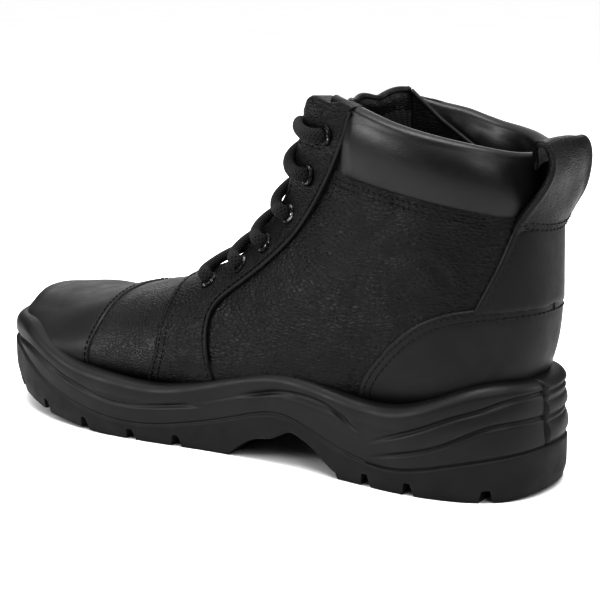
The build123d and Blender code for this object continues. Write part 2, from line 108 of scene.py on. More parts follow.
# ---------------------------------------------------------------- maths
def natural(table, x):
    """Natural cubic curve through the table's points, for any array of x."""
    xs = np.array([p[0] for p in table], float)
    ys = np.array([p[1] for p in table], float)
    h = np.diff(xs)
    n = len(xs)
    lhs = np.eye(n)
    rhs = np.zeros(n)
    for i in range(1, n - 1):
        lhs[i, i - 1:i + 2] = h[i - 1], 2 * (h[i - 1] + h[i]), h[i]
        rhs[i] = 6 * ((ys[i + 1] - ys[i]) / h[i] - (ys[i] - ys[i - 1]) / h[i - 1])
    m = np.linalg.solve(lhs, rhs)
    x = np.asarray(x, float)
    i = np.clip(np.searchsorted(xs, x) - 1, 0, n - 2)
    t = x - xs[i]
    slope = (ys[i + 1] - ys[i]) / h[i] - h[i] * (2 * m[i] + m[i + 1]) / 6
    return ys[i] + t * (slope + t * (m[i] / 2 + t * (m[i + 1] - m[i]) / (6 * h[i])))


def linear(table, x):
    return np.interp(x, [p[0] for p in table], [p[1] for p in table])


def spline(points, count=160, closed=False):
    """Evenly sampled smooth curve through points of any dimension."""
    p = np.array(points, float)
    if closed:
        p = np.vstack([p, p, p, p[:1]])
    d = np.concatenate([[0], np.cumsum(np.sqrt(np.linalg.norm(np.diff(p, axis=0), axis=1)))])
    k = len(points)
    t = np.linspace(d[k], d[2 * k], count + 1)[:-1] if closed else np.linspace(0, d[-1], count)
    return np.column_stack([natural(list(zip(d, p[:, j])), t) for j in range(p.shape[1])])


def smooth(a, b, x):
    t = np.clip((x - a) / (b - a), 0, 1)
    return t * t * (3 - 2 * t)


def bell(f, at, width):
    return np.exp(-((f - at) / width) ** 2)


def lengths(path):
    """Distance along a path at each of its points."""
    return np.concatenate([[0], np.cumsum(np.linalg.norm(np.diff(path, axis=0), axis=1))])


def unit(v):
    return v / np.maximum(np.linalg.norm(v, axis=-1, keepdims=True), 1e-9)


def hash_noise(p, scale, seed=0.0):
    """Smooth noise from -1 to 1, the same on every run, from sums of slanted sines."""
    slants = [(1.0, 0.7, -0.4), (-0.6, 1.1, 0.8), (0.5, -0.9, 1.3), (1.4, 0.3, 0.9)]
    q = np.asarray(p, float) / scale + seed
    total = np.zeros(q.shape[:-1])
    for k, (a, b, c) in enumerate(slants):
        total = total + np.sin(a * q[..., 0] + b * q[..., 1] + c * q[..., 2] + 1.7 * k
                               + 1.3 * np.sin(0.8 * q[..., (k + 1) % 3] + k))
    return total / len(slants)


def closing(x, start, power, root):
    """Falls from 1 at the start to 0 at the toe's tip, as a rounded nose."""
    s = np.clip((x - start) / (TOE_TIP - start), 0, 1)
    return (1 - s ** power) ** (1 / root)


def radii(u):
    """Distances from the pivot to the ridge and to the sole at station u."""
    ridge = natural(RIDGE, u)
    sole = natural(SOLE, u)
    fall = closing(PIVOT_X - u, 100, 2.6, 2.2)
    level = PIVOT_Z - TOE_LEVEL
    toe = u < 0
    ridge = np.where(toe, level - (level - ridge) * fall, ridge)
    sole = np.where(toe, level + (sole - level) * np.sqrt(fall), sole)
    return ridge, sole


def in_place(u, radius, y):
    """Point at a radius from the pivot, at station u."""
    u = np.asarray(u, float)
    x0 = PIVOT_X - np.minimum(u, 0)
    angle = np.radians(np.maximum(u, 0))
    x, z = x0 - radius * np.sin(angle), PIVOT_Z - radius * np.cos(angle)
    return np.stack(np.broadcast_arrays(x, y, z), -1)


def skin(u, turn):
    """The upper's surface: station u, turn 0 at the front ridge, pi at the sole or back."""
    u, turn = np.broadcast_arrays(np.asarray(u, float), np.asarray(turn, float))
    ridge, sole = radii(u)
    width = np.where(u < 0, closing(PIVOT_X - u, 85, 2.6, 2.3), 1.0)
    half = np.where(np.sin(turn) >= 0, natural(LATERAL, u), -natural(MEDIAL, u)) * width
    a, b = linear(FRONT_ROUND, u), linear(BACK_ROUND, u)
    s = (1 - np.cos(turn)) / 2
    peak = a / (a + b)
    full = s ** a * (1 - s) ** b / (peak ** a * (1 - peak) ** b)
    return in_place(u, ridge + (sole - ridge) * s, natural(MIDDLE, u) + half * full)


def skin_normal(u, turn):
    """Outward direction of the skin, from small steps along and round it."""
    du, dt = 0.4, 0.012
    u, turn = np.broadcast_arrays(np.asarray(u, float), np.asarray(turn, float))
    hi = np.minimum(u + du, 91.0)
    lo = np.maximum(u - du, -81.9)
    along = skin(hi, turn) - skin(lo, turn)
    around = skin(u, turn + dt) - skin(u, turn - dt)
    n = unit(np.cross(along, around))
    side = np.where(np.sin(turn) >= 0, 1.0, -1.0)
    flip = np.sign(np.sum(n * np.stack([0 * side, side, 0 * side], -1), -1))
    front = np.abs(np.sin(turn)) < 0.25
    ridge_out = unit(np.stack([np.sin(np.radians(np.maximum(u, 0))), 0 * u,
                               np.cos(np.radians(np.maximum(u, 0)))], -1))
    toward = np.where(np.cos(turn) > 0, 1.0, -1.0)
    flip_front = np.sign(np.sum(n * ridge_out, -1)) * toward
    return n * np.where(front, flip_front, flip)[..., None]


def fan_of(x, z):
    """Station and turn of the surface point with this side view place."""
    x, z = np.asarray(x, float), np.asarray(z, float)
    toe = x > PIVOT_X
    u = np.where(toe, PIVOT_X - x, np.degrees(np.arctan2(PIVOT_X - x, PIVOT_Z - z)))
    radius = np.where(toe, PIVOT_Z - z, np.hypot(PIVOT_X - x, PIVOT_Z - z))
    ridge, sole = radii(u)
    s = np.clip((radius - ridge) / np.maximum(sole - ridge, 1e-6), 0, 1)
    return u, np.arccos(1 - 2 * s)


def touch(u, turn, side=1):
    """Point and outward direction of the skin on one side."""
    return skin(u, side * turn), skin_normal(u, side * turn)


def turn_at_width(u, width):
    """Turn at which the skin is this far from the middle, found by halving."""
    low, high = 0.0, 1.2
    for _ in range(40):
        mid = (low + high) / 2
        if abs(float(skin(u, mid)[1])) < width:
            low = mid
        else:
            high = mid
    return low


# ---------------------------------------------------------------- Blender objects
def place(points):
    return (np.asarray(points, float) + [SHIFT_X, 0, 0]) * MM


def add_object(name, data):
    obj = bpy.data.objects.new(name, data)
    bpy.context.scene.collection.objects.link(obj)
    return obj


def mesh_object(name, points, faces, material):
    """New mesh from millimetre points; faces may mix triangles, quads and polygons."""
    mesh = bpy.data.meshes.new(name)
    mesh.from_pydata([tuple(p) for p in place(points)], [], [tuple(f) for f in faces])
    mesh.update()
    mesh.validate()
    mesh.polygons.foreach_set("use_smooth", [True] * len(mesh.polygons))
    mesh.materials.append(material)
    return add_object(name, mesh)


def grid_faces(rows, cols, close_cols=False, start=0):
    """Quads between the points of a grid; close_cols joins its last column to its first."""
    i, j = np.meshgrid(np.arange(rows - 1), np.arange(cols if close_cols else cols - 1), indexing="ij")
    j2 = (j + 1) % cols
    quads = np.stack([i * cols + j, i * cols + j2, (i + 1) * cols + j2, (i + 1) * cols + j], -1)
    return quads.reshape(-1, 4) + start


def border(rows, cols):
    """Places round the edge of a grid of points, in order."""
    index = np.arange(rows * cols).reshape(rows, cols)
    return np.concatenate([index[0], index[1:, -1], index[-1, -2::-1], index[-2:0:-1, 0]])


def mend(obj, merge=0.0, slivers=False, fill=False, outward=True):
    """Joins points closer than merge metres, drops slivers, fills holes, turns faces outward."""
    bm = bmesh.new()
    bm.from_mesh(obj.data)
    if merge:
        bmesh.ops.remove_doubles(bm, verts=bm.verts, dist=merge)
    if slivers:
        bmesh.ops.dissolve_degenerate(bm, edges=bm.edges, dist=1e-6)
    if fill:
        bmesh.ops.holes_fill(bm, edges=[e for e in bm.edges if e.is_boundary], sides=0)
    if outward:
        bmesh.ops.recalc_face_normals(bm, faces=bm.faces)
    bm.to_mesh(obj.data)
    bm.free()
    return obj


def sheet(name, outer, inner, material, lining=None, lined=0.0):
    """Closed pad between two grids of points. The lining covers the inner face's first rows."""
    rows, cols = outer.shape[:2]
    count = rows * cols
    ring = border(rows, cols)
    ahead = np.roll(ring, -1)
    faces = np.vstack([grid_faces(rows, cols), grid_faces(rows, cols, start=count)[:, ::-1],
                       np.stack([ring, ring + count, ahead + count, ahead], -1)])
    verts = np.vstack([outer.reshape(-1, 3), inner.reshape(-1, 3)])
    obj = mesh_object(name, verts, faces.tolist(), material)
    if lining is not None:
        obj.data.materials.append(lining)
        index = np.zeros(len(faces), np.int32)
        start = (rows - 1) * (cols - 1)
        index[start:2 * start] = np.repeat(np.arange(rows - 1) < lined * rows, cols - 1)
        obj.data.polygons.foreach_set("material_index", index)
    return mend(obj, merge=1e-6)


# ---------------------------------------------------------------- side-view fields
def field(curve, x, z):
    """Signed distance in side view to a smooth line, positive on its left, and its gradient."""
    pts = spline(curve, 90)
    best = np.full(x.shape, 1e9)
    sign = np.ones(x.shape)
    gx, gz = np.zeros(x.shape), np.zeros(x.shape)
    for a, b in zip(pts, pts[1:]):
        d = b - a
        t = np.clip(((x - a[0]) * d[0] + (z - a[1]) * d[1]) / (d @ d), 0, 1)
        px, pz = x - a[0] - t * d[0], z - a[1] - t * d[1]
        dist = np.hypot(px, pz)
        near = dist < best
        left = d[0] * (z - a[1]) - d[1] * (x - a[0])
        best = np.where(near, dist, best)
        sign = np.where(near, np.where(left >= 0, 1.0, -1.0), sign)
        gx, gz = np.where(near, px, gx), np.where(near, pz, gz)
    size = np.maximum(best, 1e-6)
    return best * sign, gx / size * sign, gz / size * sign


def surface_field(curve, points, normals):
    """The side-view distance, stretched to be measured along the surface."""
    f, gx, gz = field(curve, points[..., 0], points[..., 2])
    along = gx * normals[..., 0] + gz * normals[..., 2]
    return f / np.sqrt(np.clip(1 - along ** 2, 0.06, 1))


def clip_grid(points, lifts, value):
    """Marching squares on a grid: keeps value >= 0. Returns vertices, faces and rim edges."""
    val = value.reshape(-1)
    data = np.hstack([points.reshape(-1, 3), lifts.reshape(-1, 3), val[:, None]])
    inside = val >= 0
    quads = grid_faces(*value.shape)
    count = inside[quads].sum(1)
    whole, cut = quads[count == 4], quads[(count > 0) & (count < 4)]
    keep = np.unique(np.concatenate([whole.reshape(-1), cut.reshape(-1)]))
    keep = keep[inside[keep]]
    index = np.full(len(val), -1)
    index[keep] = np.arange(len(keep))
    extra, where = [], {}

    def cut_point(a, b):
        key = (min(a, b), max(a, b))
        if key not in where:
            where[key] = len(keep) + len(extra)
            extra.append((a, b))
        return where[key]

    faces = [tuple(index[q]) for q in whole]
    for q in cut:
        ring = []
        for k in range(4):
            a, b = int(q[k]), int(q[(k + 1) % 4])
            if inside[a]:
                ring.append(int(index[a]))
            if inside[a] != inside[b]:
                ring.append(cut_point(a, b))
        if len(ring) > 2:
            faces.append(tuple(ring))
    a, b = np.array(extra).T
    t = (val[a] / (val[a] - val[b]))[:, None]
    data = np.vstack([data[keep], data[a] * (1 - t) + data[b] * t])
    return data[:, :3], unit(data[:, 3:6]), data[:, 6], faces


def rim_of(faces):
    """Directed boundary edges of a face list."""
    seen = {}
    for f in faces:
        for a, b in zip(f, f[1:] + f[:1]):
            if seen.pop((b, a), None) is None:
                seen[(a, b)] = True
    return list(seen)


def panel(name, grid, value, material, base=0.0, thick=1.3, relief=None, depth=2.0, rounding=1.0,
          backing=None):
    """A leather panel: the skin where value >= 0, lifted, with rolled edges and a turned-in rim.
    With a backing material it also gets its inner face."""
    verts, norms, dist, faces = clip_grid(*grid, value)
    rise = np.sqrt(1 - (1 - np.clip(dist / rounding, 0, 1)) ** 2)
    height = base + thick * (0.30 + 0.70 * rise)
    if relief is not None:
        height = height + relief(verts, norms, dist)
    top = verts + norms * height[:, None]
    rim = rim_of(faces)
    ids = sorted({i for e in rim for i in e})
    where = {v: len(top) + k for k, v in enumerate(ids)}
    if backing is None:
        low = verts[ids] + norms[ids] * (base - depth)
        walls = [(b, a, where[a], where[b]) for a, b in rim]
        obj = mesh_object(name, np.vstack([top, low]), faces + walls, material)
    else:
        count = len(top)
        back = verts + norms * (base - depth)
        walls = [(b, a, a + count, b + count) for a, b in rim]
        inner = [tuple(i + count for i in reversed(f)) for f in faces]
        obj = mesh_object(name, np.vstack([top, back]), faces + walls + inner, material)
        obj.data.materials.append(backing)
        index = [0] * (len(faces) + len(walls)) + [1] * len(inner)
        obj.data.polygons.foreach_set("material_index", index)
    mend(obj, merge=2e-6, slivers=True, outward=False)
    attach(obj, "boot")
    return obj


def skin_grid(u0, u1, t0, t1, step=0.9):
    """Points and normals of a part of the skin, about step millimetres apart."""
    nu = int((u1 - u0) * 2.4 / step) + 2
    nt = int((t1 - t0) * 45 / step) + 2
    u, turn = np.meshgrid(np.linspace(u0, u1, nu), np.linspace(t0, t1, nt), indexing="ij")
    return touch(u, turn)


# ---------------------------------------------------------------- materials
class Shader:
    """Small wrapper to build a node material."""

    def __init__(self, name):
        self.mat = bpy.data.materials.new(name)
        self.mat.use_nodes = True
        self.tree = self.mat.node_tree
        self.bsdf = self.tree.nodes["Principled BSDF"]
        self.coord = self.add("ShaderNodeTexCoord").outputs["Object"]

    def add(self, kind, **inputs):
        node = self.tree.nodes.new(kind)
        for key, value in inputs.items():
            if key in node.inputs:
                self.feed(node.inputs[key], value)
            else:
                setattr(node, key, value)
        return node

    def feed(self, socket, value):
        if isinstance(value, bpy.types.NodeSocket):
            self.tree.links.new(value, socket)
        else:
            socket.default_value = value

    def math(self, operation, a, b=0.0):
        node = self.add("ShaderNodeMath", operation=operation)
        self.feed(node.inputs[0], a)
        self.feed(node.inputs[1], b)
        return node.outputs[0]

    def noise(self, scale, detail=3.0, distortion=0.0):
        node = self.add("ShaderNodeTexNoise", Scale=scale, Detail=detail, Roughness=0.55,
                        Distortion=distortion, Vector=self.coord)
        return node.outputs["Fac"]

    def ramp(self, fac, low, high, a=(0, 0, 0, 1), b=(1, 1, 1, 1)):
        node = self.add("ShaderNodeValToRGB")
        for element, position, colour in zip(node.color_ramp.elements, (low, high), (a, b)):
            element.position, element.color = position, colour
        self.feed(node.inputs[0], fac)
        return node.outputs[0]

    def colours(self, fac, dark, light):
        self.feed(self.bsdf.inputs["Base Color"], self.ramp(fac, 0.3, 0.7, (*dark, 1), (*light, 1)))

    def roughness(self, fac, low, high):
        ranges = {"From Min": 0.3, "From Max": 0.7, "To Min": low, "To Max": high}
        node = self.add("ShaderNodeMapRange", Value=fac, **ranges)
        self.feed(self.bsdf.inputs["Roughness"], node.outputs["Result"])

    def bump(self, layers):
        """Stacks (height, distance in metres, strength) layers into the normal."""
        normal = None
        for height, distance, strength in layers:
            node = self.add("ShaderNodeBump", Strength=strength, Distance=distance, Height=height)
            if normal is not None:
                self.feed(node.inputs["Normal"], normal)
            normal = node.outputs["Normal"]
        self.feed(self.bsdf.inputs["Normal"], normal)

    def vector(self, operation, a, b):
        node = self.add("ShaderNodeVectorMath", operation=operation)
        self.feed(node.inputs[0], a)
        self.feed(node.inputs["Scale" if operation == "SCALE" else 1], b)
        return node.outputs[0]

    def cells(self, scale):
        """Borders of warped, lying cells: the pebbles of grain leather."""
        warp = self.add("ShaderNodeTexNoise", Scale=180.0, Detail=2.0, Vector=self.coord)
        moved = self.vector("ADD", self.vector("MULTIPLY", self.coord, (0.62, 0.62, 1.15)),
                            self.vector("SCALE", warp.outputs["Color"], 0.0015))
        node = self.add("ShaderNodeTexVoronoi", feature="DISTANCE_TO_EDGE", Scale=scale, Vector=moved)
        return node.outputs["Distance"]

    def finish(self, **values):
        """Sets plain inputs of the surface; an underscore stands for a space. Gives the material."""
        for key, value in values.items():
            self.bsdf.inputs[key.replace("_", " ")].default_value = value
        return self.mat


def leather(name, grain, grain_depth, dark, light, rough, crease, shine=0.34):
    """Grain leather: pebbles that fade in patches, fine pores and soft folds."""
    s = Shader(name)
    s.colours(s.noise(55.0, 4.0), dark, light)
    s.roughness(s.noise(120.0, 5.0), *rough)
    pebble = s.ramp(s.cells(grain), 0.0, 0.32)
    patchy = s.math("MULTIPLY", pebble, s.ramp(s.noise(70.0, 3.0), 0.25, 0.6, (0.45, 0.45, 0.45, 1)))
    folds = s.ramp(s.noise(95.0, 3.0, distortion=1.6), 0.35, 0.62)
    s.bump([(s.noise(2600.0, 2.0), 0.00006, 0.35), (patchy, grain_depth, 1.0), (folds, crease, 0.5)])
    return s.finish(Specular_IOR_Level=shine)


def moulded(name, dark, light, rough, stipple, metal=0.0):
    """Moulded, pressed or rolled stuff with a fine stipple."""
    s = Shader(name)
    s.colours(s.noise(40.0, 5.0), dark, light)
    s.roughness(s.noise(90.0, 6.0), *rough)
    s.bump([(s.noise(1800.0, 2.0), 0.00005, stipple), (s.noise(260.0, 3.0), 0.00015, 0.25)])
    return s.finish(Metallic=metal)


def woven(name, scale, dark, light, depth):
    """Knitted mesh: rows of small open cells."""
    s = Shader(name)
    cell = s.add("ShaderNodeTexVoronoi", feature="F1", Scale=scale, Randomness=0.25, Vector=s.coord)
    s.colours(s.ramp(cell.outputs["Distance"], 0.25, 0.6), dark, light)
    s.bump([(s.noise(3000.0, 2.0), 0.00005, 0.4), (cell.outputs["Distance"], depth, 0.8)])
    return s.finish(Roughness=0.9, Sheen_Weight=0.15)


def braided(name, around, along):
    """Braided cord: strands cross in a diamond pattern laid out by the cord's own map."""
    s = Shader(name)
    split = s.add("ShaderNodeSeparateXYZ")
    s.feed(split.inputs[0], s.add("ShaderNodeTexCoord").outputs["UV"])
    u = s.math("MULTIPLY", split.outputs[0], TAU * around)
    v = s.math("MULTIPLY", split.outputs[1], TAU * along)
    one = s.math("SINE", s.math("ADD", u, v))
    two = s.math("SINE", s.math("SUBTRACT", u, v))
    strands = s.math("MAXIMUM", one, two)
    s.colours(s.math("MULTIPLY_ADD", strands, 0.3), (0.004, 0.004, 0.004), (0.016, 0.016, 0.0155))
    s.bump([(s.noise(5200.0, 2.0), 0.00005, 0.5), (strands, 0.00022, 0.9)])
    return s.finish(Roughness=0.8, Specular_IOR_Level=0.3, Sheen_Weight=0.08)


def thread(name):
    s = Shader(name)
    s.colours(s.noise(900.0, 3.0), (0.005, 0.005, 0.005), (0.016, 0.016, 0.016))
    s.bump([(s.noise(6000.0, 2.0), 0.00005, 0.6)])
    return s.finish(Roughness=0.6)


def lacquered_metal(name):
    """Black lacquer worn through to bright metal in places."""
    s = Shader(name)
    wear = s.ramp(s.noise(420.0, 5.0), 0.50, 0.66)
    colour = s.ramp(wear, 0.2, 0.9, (0.02, 0.02, 0.021, 1), (0.42, 0.42, 0.43, 1))
    s.feed(s.bsdf.inputs["Base Color"], colour)
    s.roughness(s.noise(300.0, 4.0), 0.22, 0.42)
    s.bump([(s.noise(1400.0, 3.0), 0.00004, 0.4)])
    return s.finish(Metallic=0.85)


def floor_material():
    s = Shader("pale_floor")
    s.colours(s.noise(2.0, 2.0), (0.90, 0.90, 0.90), (0.92, 0.92, 0.92))
    return s.finish(Roughness=0.6)


SMOOTH = leather("smooth_black_leather", 1300.0, 0.00003, (0.005, 0.005, 0.0052), (0.010, 0.0095, 0.0095),
                 (0.40, 0.52), crease=0.00005, shine=0.45)
COLLAR_SKIN = leather("collar_soft_leather", 1100.0, 0.00002, (0.006, 0.0057, 0.006), (0.012, 0.011, 0.0115),
                      (0.34, 0.42), crease=0.00003, shine=0.55)
GRAIN = leather("pebbled_black_leather", 560.0, 0.00022, (0.004, 0.004, 0.0042), (0.010, 0.0095, 0.009),
                (0.38, 0.54), crease=0.0002)
FINE_GRAIN = leather("fine_grain_leather", 760.0, 0.00014, (0.005, 0.005, 0.0052), (0.011, 0.0105, 0.0102),
                     (0.34, 0.48), crease=0.00015, shine=0.4)
MIDSOLE = moulded("midsole_polyurethane", (0.006, 0.006, 0.006), (0.010, 0.010, 0.0098), (0.42, 0.55), 0.35)
OUTSOLE = moulded("outsole_rubber", (0.005, 0.005, 0.005), (0.009, 0.009, 0.0088), (0.55, 0.70), 0.5)
MESH_LINING = woven("mesh_lining", 950.0, (0.006, 0.006, 0.006), (0.040, 0.040, 0.041), 0.0003)
KNIT = woven("footbed_cloth", 900.0, (0.006, 0.006, 0.007), (0.020, 0.020, 0.022), 0.0003)
BRAID = braided("braided_lace", 7, 6.5)
THREAD = thread("sewing_thread")
METAL = lacquered_metal("lacquered_eyelet_metal")
BOARD = moulded("insole_fibre_board", (0.20, 0.13, 0.07), (0.28, 0.19, 0.11), (0.75, 0.9), 0.6)
FELT = moulded("interlining_felt", (0.05, 0.05, 0.05), (0.09, 0.09, 0.09), (0.85, 0.95), 0.9)
STIFFENER = moulded("moulded_stiffener", (0.05, 0.05, 0.055), (0.08, 0.08, 0.085), (0.4, 0.6), 0.3)
STEEL = moulded("spring_steel", (0.42, 0.42, 0.43), (0.52, 0.52, 0.53), (0.25, 0.4), 0.2,
                metal=1.0)
FLOOR = floor_material()


# ---------------------------------------------------------------- camera, light, floor
def camera():
    azimuth, elevation, distance = math.radians(216.0), math.radians(12.4), 0.640
    target = Vector((-0.0177, 0.0, 0.0628)) + Vector((SHIFT_X * MM, 0, 0))
    back = Vector((math.sin(azimuth) * math.cos(elevation), -math.cos(azimuth) * math.cos(elevation),
                   math.sin(elevation)))
    data = bpy.data.cameras.new("camera")
    data.sensor_width, data.lens, data.clip_start = 36.0, 84.6, 0.01
    cam = add_object("camera", data)
    cam.location = target + back * distance
    cam.rotation_euler = back.to_track_quat("Z", "Y").to_euler()
    bpy.context.scene.camera = cam


def area_light(name, location, size, power):
    data = bpy.data.lights.new(name, "AREA")
    data.shape = "RECTANGLE"
    data.size, data.size_y = size
    data.energy = power
    lamp = add_object(name, data)
    lamp.location = location
    target = Vector((0, 0, 0.06))
    lamp.rotation_euler = (Vector(location) - target).to_track_quat("Z", "Y").to_euler()


def lights():
    area_light("softbox_top", (-0.1, 0.15, 1.1), (0.9, 0.5), 12.0)
    area_light("softbox_side", (0.75, 1.05, 0.62), (0.8, 0.35), 12.0)
    area_light("softbox_rear", (-1.15, -0.75, 0.55), (0.4, 0.6), 6.0)
    area_light("softbox_camera", (-1.1, 0.75, 0.9), (0.5, 0.4), 5.0)
    area_light("softbox_far", (1.1, -1.5, 0.75), (1.8, 1.0), 11.0)


def surroundings():
    """Studio world: dark round the sides, bright overhead."""
    world = bpy.data.worlds.new("studio")
    world.use_nodes = True
    tree = world.node_tree
    ramp = tree.nodes.new("ShaderNodeValToRGB")
    levels = [(0.0, 0.25), (0.50, 0.10), (0.68, 0.14), (0.86, 1.5), (1.0, 1.9)]
    while len(ramp.color_ramp.elements) < len(levels):
        ramp.color_ramp.elements.new(0.5)
    for element, (height, level) in zip(ramp.color_ramp.elements, levels):
        element.position, element.color = height, (level, level, level, 1)
    split = tree.nodes.new("ShaderNodeSeparateXYZ")
    half = tree.nodes.new("ShaderNodeMath")
    half.operation = "MULTIPLY_ADD"
    half.inputs[1].default_value = half.inputs[2].default_value = 0.5
    coord = tree.nodes.new("ShaderNodeTexCoord")
    tree.links.new(coord.outputs["Generated"], split.inputs[0])
    tree.links.new(split.outputs[2], half.inputs[0])
    tree.links.new(half.outputs[0], ramp.inputs[0])
    tree.links.new(ramp.outputs[0], tree.nodes["Background"].inputs[0])
    tree.nodes["Background"].inputs[1].default_value = 1.0
    bpy.context.scene.world = world
    bpy.context.scene.view_settings.view_transform = "Standard"
    bpy.context.scene.view_settings.gamma = 0.64


def floor():
    mesh = bpy.data.meshes.new("floor")
    reach = 60.0
    corners = [(-reach, -reach, 0), (reach, -reach, 0), (reach, reach, 0), (-reach, reach, 0)]
    mesh.from_pydata(corners, [], [(0, 1, 2, 3)])
    mesh.materials.append(FLOOR)
    add_object("floor", mesh)

# ---------------------------------------------------------------- leather panels
def least(points, normals, *parts):
    """Smallest signed distance to several seams, each given as (line, sign, shift)."""
    value = points[..., 2] - natural(LIP, points[..., 0]) + 6
    for line, sign, shift in parts:
        value = np.minimum(value, surface_field(line, points, normals) * sign + shift)
    return value


def throat_half(x):
    """Half the throat's width, held at its end values past its ends."""
    return natural(sorted(THROAT_EDGE), np.clip(x, -60, 46))


def throat_gap(points, normals):
    """Distance to the throat's edge, positive on the leather; there is no throat past its root."""
    half = np.where(points[..., 0] > 34, -20.0, throat_half(points[..., 0]))
    slope = np.sqrt(np.clip(1 - normals[..., 1] ** 2, 0.1, 1))
    return (np.abs(points[..., 1]) - half) / slope


def rounded_min(a, b, r):
    """Smaller of two distances, with the corner between them rounded."""
    corner = r - np.hypot(np.maximum(r - a, 0), np.maximum(r - b, 0))
    return np.where((a < r) & (b < r), corner, np.minimum(a, b))


def flap(points):
    """How far the facing's free upper corner stands off the last."""
    near = smooth(17, 3, np.abs(points[..., 1]) - throat_half(points[..., 0]))
    return 3.6 * near * smooth(96, 150, points[..., 2])


def inner_drop(x):
    """How much lower the top edge runs on the inner side."""
    return 1.2 * smooth(-122, -98, x) + 1.3 * smooth(-86, -68, x)


def hide(points):
    """Soft unevenness of lasted leather."""
    stretched = points * [1.0, 0.8, 1.3]
    return 0.22 * hash_noise(stretched, 11.0) + 0.07 * hash_noise(points, 3.6, 5.0)


def nose_grid(u_end):
    """Points and normals of the toe from its very tip, with rows closer together there."""
    rows = (PIVOT_X - TOE_TIP) + (u_end + TOE_TIP - PIVOT_X) * np.linspace(0, 1, 150) ** 1.7
    u, turn = np.meshgrid(rows, np.linspace(-math.pi, math.pi, 316), indexing="ij")
    points, normals = touch(u, turn)
    normals[u[:, 0] < rows[0] + 0.06] = (1, 0, 0)
    return points, normals


def toe_cap():
    grid = nose_grid(8)
    value = least(*grid, (TOE_SEAM, -1, 0))

    def relief(p, n, d):
        f = -surface_field(TOE_SEAM, p, n)
        nose = 2.0 * smooth(112, 137, p[:, 0]) * smooth(53, 47, p[:, 2])
        dome = 1.2 * bell(p[:, 0], 112, 14) * smooth(47, 52, p[:, 2])
        return 0.5 * hide(p) - 0.3 * bell(f, 2.2, 0.7) + dome - nose

    obj = panel("toe_cap", grid, value, SMOOTH, HIGH - 1.3, relief=relief)
    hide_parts("toe_cap_leather")


def vamp():
    grid = skin_grid(-25, 34, -math.pi, math.pi)
    value = least(*grid, (TOE_SEAM, 1, 3), (VAMP_SEAM, -1, 3))
    obj = panel("vamp_strip", grid, value, FINE_GRAIN, LOW - 1.3, relief=lambda p, n, d: hide(p))
    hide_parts("vamp")


def facings():
    grid = skin_grid(2, 91.5, -math.pi, math.pi)
    value = least(*grid, (VAMP_SEAM, 1, 0), (QUARTER_SEAM, -1, 0))
    x, y = grid[0][..., 0], grid[0][..., 1]
    under = surface_field(TOP_EDGE, *grid) - 2.5 * smooth(-66, -54, x) - inner_drop(x) * (y < 0)
    value = np.minimum(value, rounded_min(under, throat_gap(*grid), 15.0))

    def relief(p, n, d):
        front = surface_field(VAMP_SEAM, p, n)
        back = -surface_field(QUARTER_SEAM, p, n)
        low = smooth(56, 50, p[:, 2])
        seams = bell(front, 2.0, 0.6) + low * bell(front, 5.0, 0.6) + bell(back, 2.5, 0.6)
        lip = 0.35 * bell(front, 0.9, 0.7)
        joint = smooth(29.5, 28, p[:, 0]) * smooth(3, 5, p[:, 0])
        seams = seams + 1.6 * joint * bell(p[:, 2], 58 + 0.087 * (28 - p[:, 0]), 0.6)
        near = smooth(26, 6, throat_gap(p, n)) * smooth(60, 80, p[:, 2])
        pucker = 0.5 * near * hash_noise(p * [1, 1, 0.6], 4.2, 2.0)
        wrinkle = bell(hash_noise(p * [0.7, 0.7, 1.5], 3.4), 0.0, 0.2)
        pucker = pucker + 0.35 * smooth(118, 135, p[:, 2]) * wrinkle
        top = bell(surface_field(TOP_EDGE, p, n), 4.0, 0.7) * smooth(120, 140, p[:, 2])
        rear = 0.5 * bell(back, 1.0, 0.8)
        return hide(p) + flap(p) - 0.22 * seams + lip + rear + pucker - 0.2 * top

    obj = panel("facings", grid, value, GRAIN, HIGH - 1.3, relief=relief, depth=4.5,
                backing=MESH_LINING)
    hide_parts("facing_lateral", "facing_medial", "eyestay_lateral", "eyestay_medial",
                "facing_lining")


def quarters():
    grid = skin_grid(8, 91.5, 0.35, TAU - 0.35)
    value = least(*grid, (QUARTER_SEAM, 1, 3), (COLLAR_SEAM, 1, 2), (COUNTER_EDGE, -1, 4))

    def relief(p, n, d):
        under = surface_field(COLLAR_SEAM, p, n)
        rows = sum(bell(under, row, 0.6) for row in STITCH_ROWS)
        slack = smooth(-30, -80, p[:, 0]) * smooth(60, 85, p[:, 2])
        crease = hash_noise(p * [0.45, 0.6, 1.0] + [0, 0, 0.35], 6.5, 9.0)
        return 1.3 * hide(p) - 0.15 * rows - 0.75 * slack * bell(crease, 0.0, 0.16)

    obj = panel("quarters", grid, value, GRAIN, LOW - 1.3, relief=relief)
    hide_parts("quarter_lateral", "quarter_medial")


def counter():
    grid = skin_grid(4, 75, 0.6, TAU - 0.6)
    value = least(*grid, (COUNTER_EDGE, 1, 0))

    def relief(p, n, d):
        f = surface_field(COUNTER_EDGE, p, n)
        return 0.4 * hide(p) - 0.3 * sum(bell(f, row, 0.6) for row in STITCH_ROWS)

    obj = panel("heel_counter", grid, value, SMOOTH, HIGH - 1.3, relief=relief)
    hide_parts("heel_counter_cover")


